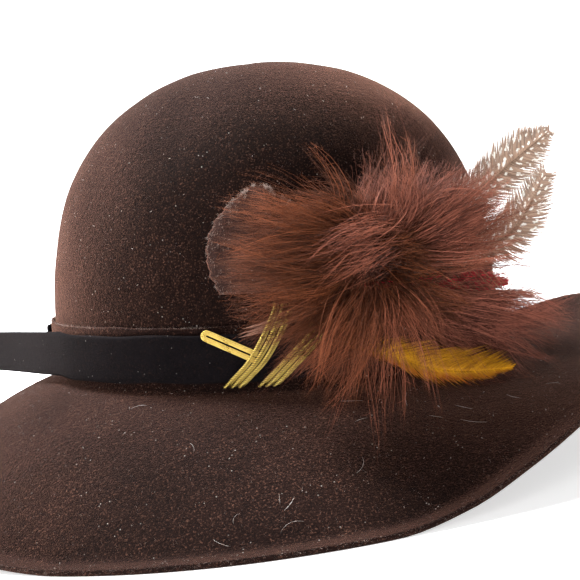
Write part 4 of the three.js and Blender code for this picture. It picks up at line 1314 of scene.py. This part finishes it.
def lock_barbs(lock):
    """Centre lines of one lock's barbs, along, up and out from the plume's seat.

    Barbs run in small wisps that draw together towards their tips.
    """
    row_of = dict(zip(LOCK_COLUMNS, lock))
    count = max(int(row_of["barbs"] * BARB_COUNT_SCALE), 4)
    wisp = chance.integers(0, max(count // BARBS_PER_WISP, 2), count)

    def shared(draw):
        """A value for each wisp, handed to each of its barbs."""
        return draw(wisp.max() + 1)[wisp][:, None]

    start = np.array([row_of["from_along"], row_of["from_up"]]) * PLUME_REACH
    end = np.array([row_of["to_along"], row_of["to_up"]]) * PLUME_REACH
    aim = end - start
    aside = np.array([-aim[1], aim[0]]) / np.linalg.norm(aim)
    girth = row_of["girth"] * PLUME_REACH
    first = chance.uniform(0, 0.1 + 2.6 * row_of["girth"], (count, 1))
    spent = shared(lambda n: chance.uniform(0, 0.75, n) ** 1.6)
    last = np.clip(1 - spent - chance.uniform(0, 0.12, (count, 1)), 0.3, 1.05)
    s = first + (last - first) * np.linspace(0, 1, BARB_STATIONS)[None]
    turn_of = shared(lambda n: chance.uniform(0, 2 * np.pi, n))
    far = shared(lambda n: np.sqrt(chance.random(n)))
    layer_of = shared(lambda n: chance.uniform(0.1, 1, n))
    curl = shared(lambda n: chance.normal(0, 0.9, n))
    bend = shared(lambda n: chance.normal(0, BEND, n)) * min(row_of["girth"] / 0.08, 1)
    veer = shared(lambda n: chance.normal(0, VEER, n)) * min(row_of["girth"] / 0.08, 1)
    splay = shared(lambda n: chance.random(n) ** 1.6)
    swell = 0.4 + 0.8 * np.sin(np.pi * np.clip(s, 0, 1) ** 0.85) + 0.1 * s
    gather = np.clip((last - s) / last, 0, 1) ** 0.8
    loose = gather * (1 - splay) + splay * (0.3 + s)
    own_side = chance.normal(0, 0.3, (count, 1)) * loose
    own_out = chance.normal(0, 0.3, (count, 1)) * loose
    ripple = np.sin(s * chance.uniform(4, 9, (count, 1)) + chance.uniform(0, 6.3, (count, 1)))
    ripple = ripple + 0.5 * np.sin(s * chance.uniform(9, 15, (count, 1)) + turn_of)
    ripple = ripple * chance.uniform(0.2, 1, (count, 1)) * 0.02 * PLUME_REACH * s
    lateral = girth * (far * np.cos(turn_of) * swell + own_side + curl * s**2.5) + ripple
    lateral = lateral + np.linalg.norm(aim) * (veer * s + bend * np.sin(s * (3.5 + 2 * far)))
    lateral -= row_of["sway"] * PLUME_REACH * (2 * s * (1 - s) + 0.5 * s**3)
    root = ROOT_OUT + row_of["sink"] * PLUME_REACH
    tip_out = head_out + row_of["rise"] * PLUME_REACH
    dome = np.clip(s, 0, 1) ** 0.55 * np.clip(1 - s, 0, 1) / 0.365
    loft = LOFT * min(1 + 3 * row_of["sink"], 1.2)
    outward = root + (tip_out - root) * s + loft * (layer_of * dome)
    outward = outward + row_of["bow"] * PLUME_REACH * 2 * s * (1 - s)
    outward = outward + girth * (0.5 * far * np.sin(turn_of) * swell + own_out)
    strewn = chance.normal(0, ROOT_SPREAD * PLUME_REACH, (count, 1, 2)) * (1 - s[..., None] * 0.7)
    flat = start + aim * s[..., None] + aside * lateral[..., None] + strewn
    lines_of = np.concatenate([flat, outward[..., None]], -1)
    own_tint = shared(lambda n: chance.normal(*WISP_TINT, n))[:, 0] + chance.normal(0, TINT_STRAY, count)
    # Painted shade: barbs on the inner layers of the bunch, and locks whose pink column is below 0, are
    # painted darker.
    own_tint += layer_of[:, 0] * 0.7 + min(row_of["pink_and_shade"], 0)
    return lines_of, np.full(count, row_of["pink_and_shade"]), own_tint


def hanging_wisps():
    """Rows of locks, as in the tables above, for the thin wisps that hang below the plume."""
    rows_of = []
    for angle in np.linspace(*WISP_ANGLES, WISPS) + chance.normal(0, 5, WISPS):
        reach = chance.uniform(0.7, 1.3)
        aim = np.array([math.cos(math.radians(angle)), math.sin(math.radians(angle))])
        rise_of = np.interp(angle, *WISP_RISE) * reach
        start = aim * 0.13 + [0.02, -0.02]
        rows_of.append((
            *start, *(aim * reach), 0.04, rise_of, 0.05, chance.uniform(-0.08, 0.08),
            chance.uniform(0.008, 0.02), chance.integers(3, 7), 0.4,
        ))
    return tuple(rows_of)


def parted(lines_of):
    """Draws barbs aside from the parting."""
    along, up = lines_of[..., 0] / PLUME_REACH, lines_of[..., 1] / PLUME_REACH
    open_by = PARTING_HALF * np.interp(along, PARTING_ALONG, (0, 1, 1, 0))
    open_by = open_by * (chance.random((len(lines_of), 1)) < PARTED_SHARE)
    off = up - PARTING_UP
    moved = np.where(np.abs(off) < open_by * 2, np.sign(off) * (open_by + np.abs(off) / 2), off)
    lines_of[..., 1] = (PARTING_UP + moved) * PLUME_REACH
    return lines_of


def marabou_piece(name, locks):
    """Makes the barbs of some locks, and hands back their lines, their rosiness, below 0 a mark of painted
    shade, and their tints, which hold painted shade.
    """
    built = [lock_barbs(lock) for lock in locks]
    lines = kept_off(from_seat(parted(np.concatenate([lines_of for lines_of, _, _ in built]))))
    pink_and_shade = np.concatenate([pink_and_shade_of for _, pink_and_shade_of, _ in built])
    tint = np.clip(np.concatenate([tint_of for _, _, tint_of in built]), 0, 1)
    taper = np.linspace(1, 0, BARB_STATIONS) ** 0.7
    halves_of = taper[None] * BARB_HALF * chance.uniform(0.6, 1.3, (len(lines), 1))
    by_station = np.repeat(np.linspace(0, 1, BARB_STATIONS), 3)[:-2]
    piece = fibre_piece(name, lines, halves_of, marabou, tint, by_station)
    carry(piece, "pink_and_shade", np.repeat(pink_and_shade, len(by_station)))
    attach(piece, "root")
    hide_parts("marabou_plume")
    return lines, pink_and_shade, tint


def down_piece(name, lines, pink_and_shade, tint):
    """Short barbules that branch off the barbs and fill the bunch."""
    count = int(len(lines) * DOWN_PER_BARB)
    barb = chance.integers(0, len(lines), count)
    at = chance.uniform(0.05, 0.93, count) * (BARB_STATIONS - 1)
    low = at.astype(int)
    part = (at - low)[:, None]
    roots_of = lines[barb, low] * (1 - part) + lines[barb, low + 1] * part
    run = unit(lines[barb, low + 1] - lines[barb, low])
    lie_of = unit(run * 0.75 + unit(chance.normal(size=run.shape)) * 0.75)
    length_of = DOWN_LENGTH * chance.uniform(0.5, 1.4, (count, 1))
    mid = roots_of + lie_of * length_of * 0.5
    end = mid + unit(lie_of + chance.normal(size=run.shape) * 0.35) * length_of * 0.5
    down_lines = kept_off(np.stack([roots_of, mid, end], 1))
    halves_of = np.array([[1, 0.75, 0]]) * DOWN_HALF * np.ones((count, 1))
    tints = np.clip(tint[barb] + chance.normal(0, TINT_STRAY, count), 0, 1)
    piece = fibre_piece(name, down_lines, halves_of, marabou, tints, DOWN_ALONG)
    carry(piece, "pink_and_shade", np.repeat(pink_and_shade[barb], len(DOWN_ALONG)))
    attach(piece, "root")


marabou, dye, shade = new_material("marabou_down")
own = dye.carried("own_tint")
pinkness = dye.carried("pink_and_shade")
toward_tip = dye.carried("along")
patch = dye.grain(120, 2, 0.6).between(0.3, 0.7)
# Painted shade: each barb is painted darker towards its root, deep in the bunch, mixed with its own tint and
# random patches.
dye_and_shade = own * 0.62 + toward_tip * 0.26 + patch * 0.12
shade({
    "Base Color": pinkness.mix(
        dye_and_shade.mix(BROWN_DARK_AND_SHADE, BROWN_LIGHT),
        dye_and_shade.mix(PINK_DARK_AND_SHADE, PINK_LIGHT),
    ),
    "Roughness": 0.6,
    "Specular IOR Level": 0.12,
    "Sheen Weight": 0.02,
    "Sheen Roughness": 0.4,
    "Sheen Tint": (1.0, 0.6, 0.45, 1),
})
front_half = marabou_piece("marabou_front", FRONT_LOCKS + hanging_wisps())
back_half = marabou_piece("marabou_back", BACK_LOCKS)
down_piece("marabou_down_front", *front_half)
down_piece("marabou_down_back", *back_half)


# Studio: a pale floor that curves up into the backdrop, a sky that is white near the horizon, and
# two soft lights: a key from above and behind, and a weak fill from the side the plume is on.
SKY_LOW = (1, 1, 1, 1)
SKY_HIGH = (0.16, 0.16, 0.16, 1)
FLOOR_HALF = 3.0
FLOOR_GLOW = 0.6
PAPER_DULL = (0.93, 0.93, 0.93, 1)
PAPER_BRIGHT = (0.96, 0.96, 0.96, 1)
floor_profile = [(-FLOOR_HALF, 0), (1.2, 0), (1.6, 0.05), (1.9, 0.22), (2.1, 0.6), (2.15, 2.6)]
floor_points = [(x, y, z) for y, z in floor_profile for x in (-FLOOR_HALF, FLOOR_HALF)]
floor_faces = [[2 * i, 2 * i + 1, 2 * i + 3, 2 * i + 2] for i in range(len(floor_profile) - 1)]
paper, dye, shade = new_material("pale_paper")
paper_grain = dye.grain(9, 2)
shade({
    "Base Color": paper_grain.mix(PAPER_DULL, PAPER_BRIGHT),
    "Roughness": 0.9,
    "Emission Color": (1, 1, 1, 1),
    "Emission Strength": FLOOR_GLOW,
    "Specular IOR Level": 0.1,
})
floor = made("floor", floor_points, floor_faces, paper)

world = bpy.data.worlds.new("soft_studio")
world.use_nodes = True
sky = Dye(world.node_tree)
toward = sky.node("ShaderNodeTexCoord", {}, {}, "Generated")
climb = sky.node("ShaderNodeSeparateXYZ", {}, {"Vector": toward}, "Z")
sky.set(world.node_tree.nodes["Background"], {"Color": climb.between(0.24, 0.4).mix(SKY_LOW, SKY_HIGH)})
bpy.context.scene.world = world
bpy.context.scene.view_settings.view_transform = "Standard"


def soft_light(name, place, aim, size, watts):
    """A round lamp at a place, turned to what it lights."""
    light = bpy.data.lights.new(name, "AREA")
    light.shape = "DISK"
    light.size = size
    light.energy = watts
    lamp = bpy.data.objects.new(name, light)
    lamp.location = place
    lamp.rotation_euler = (Vector(aim) - Vector(place)).to_track_quat("-Z", "Y").to_euler()
    bpy.context.scene.collection.objects.link(lamp)


soft_light("key", (-0.6, 0.4, 1.25), (0, 0, 0.1), size=0.6, watts=105)
soft_light("fill", (-0.5, -1.6, 0.9), (0, 0, 0.06), size=1.0, watts=9)


# Camera: where the photograph was taken from, level with the middle of the crown.
# Its place and turn are measured from the crown's own frame, so it leans as the crown does.
CAMERA_PLACE = (0.0072, -0.558, 0.0798)
CAMERA_PITCH = math.radians(4.94)
CAMERA_ROLL = math.radians(3.53)
FOCAL_PIXELS = 1200
PHOTO_WIDTH = 580
SENSOR = 36
pitch_cos, pitch_sin = math.cos(CAMERA_PITCH), math.sin(CAMERA_PITCH)
roll_cos, roll_sin = math.cos(CAMERA_ROLL), math.sin(CAMERA_ROLL)
right = tilted([roll_cos, -roll_sin * pitch_sin, -roll_sin * pitch_cos])
upward = tilted([roll_sin, roll_cos * pitch_sin, roll_cos * pitch_cos])
backward = -tilted([0, pitch_cos, -pitch_sin])
lens = bpy.data.cameras.new("camera")
lens.sensor_width = SENSOR
lens.lens = FOCAL_PIXELS / PHOTO_WIDTH * SENSOR
camera = bpy.data.objects.new("camera", lens)
turned = Matrix((right, upward, backward)).transposed().to_4x4()
camera.matrix_world = Matrix.Translation(standing(CAMERA_PLACE)) @ turned
bpy.context.scene.collection.objects.link(camera)
bpy.context.scene.camera = camera
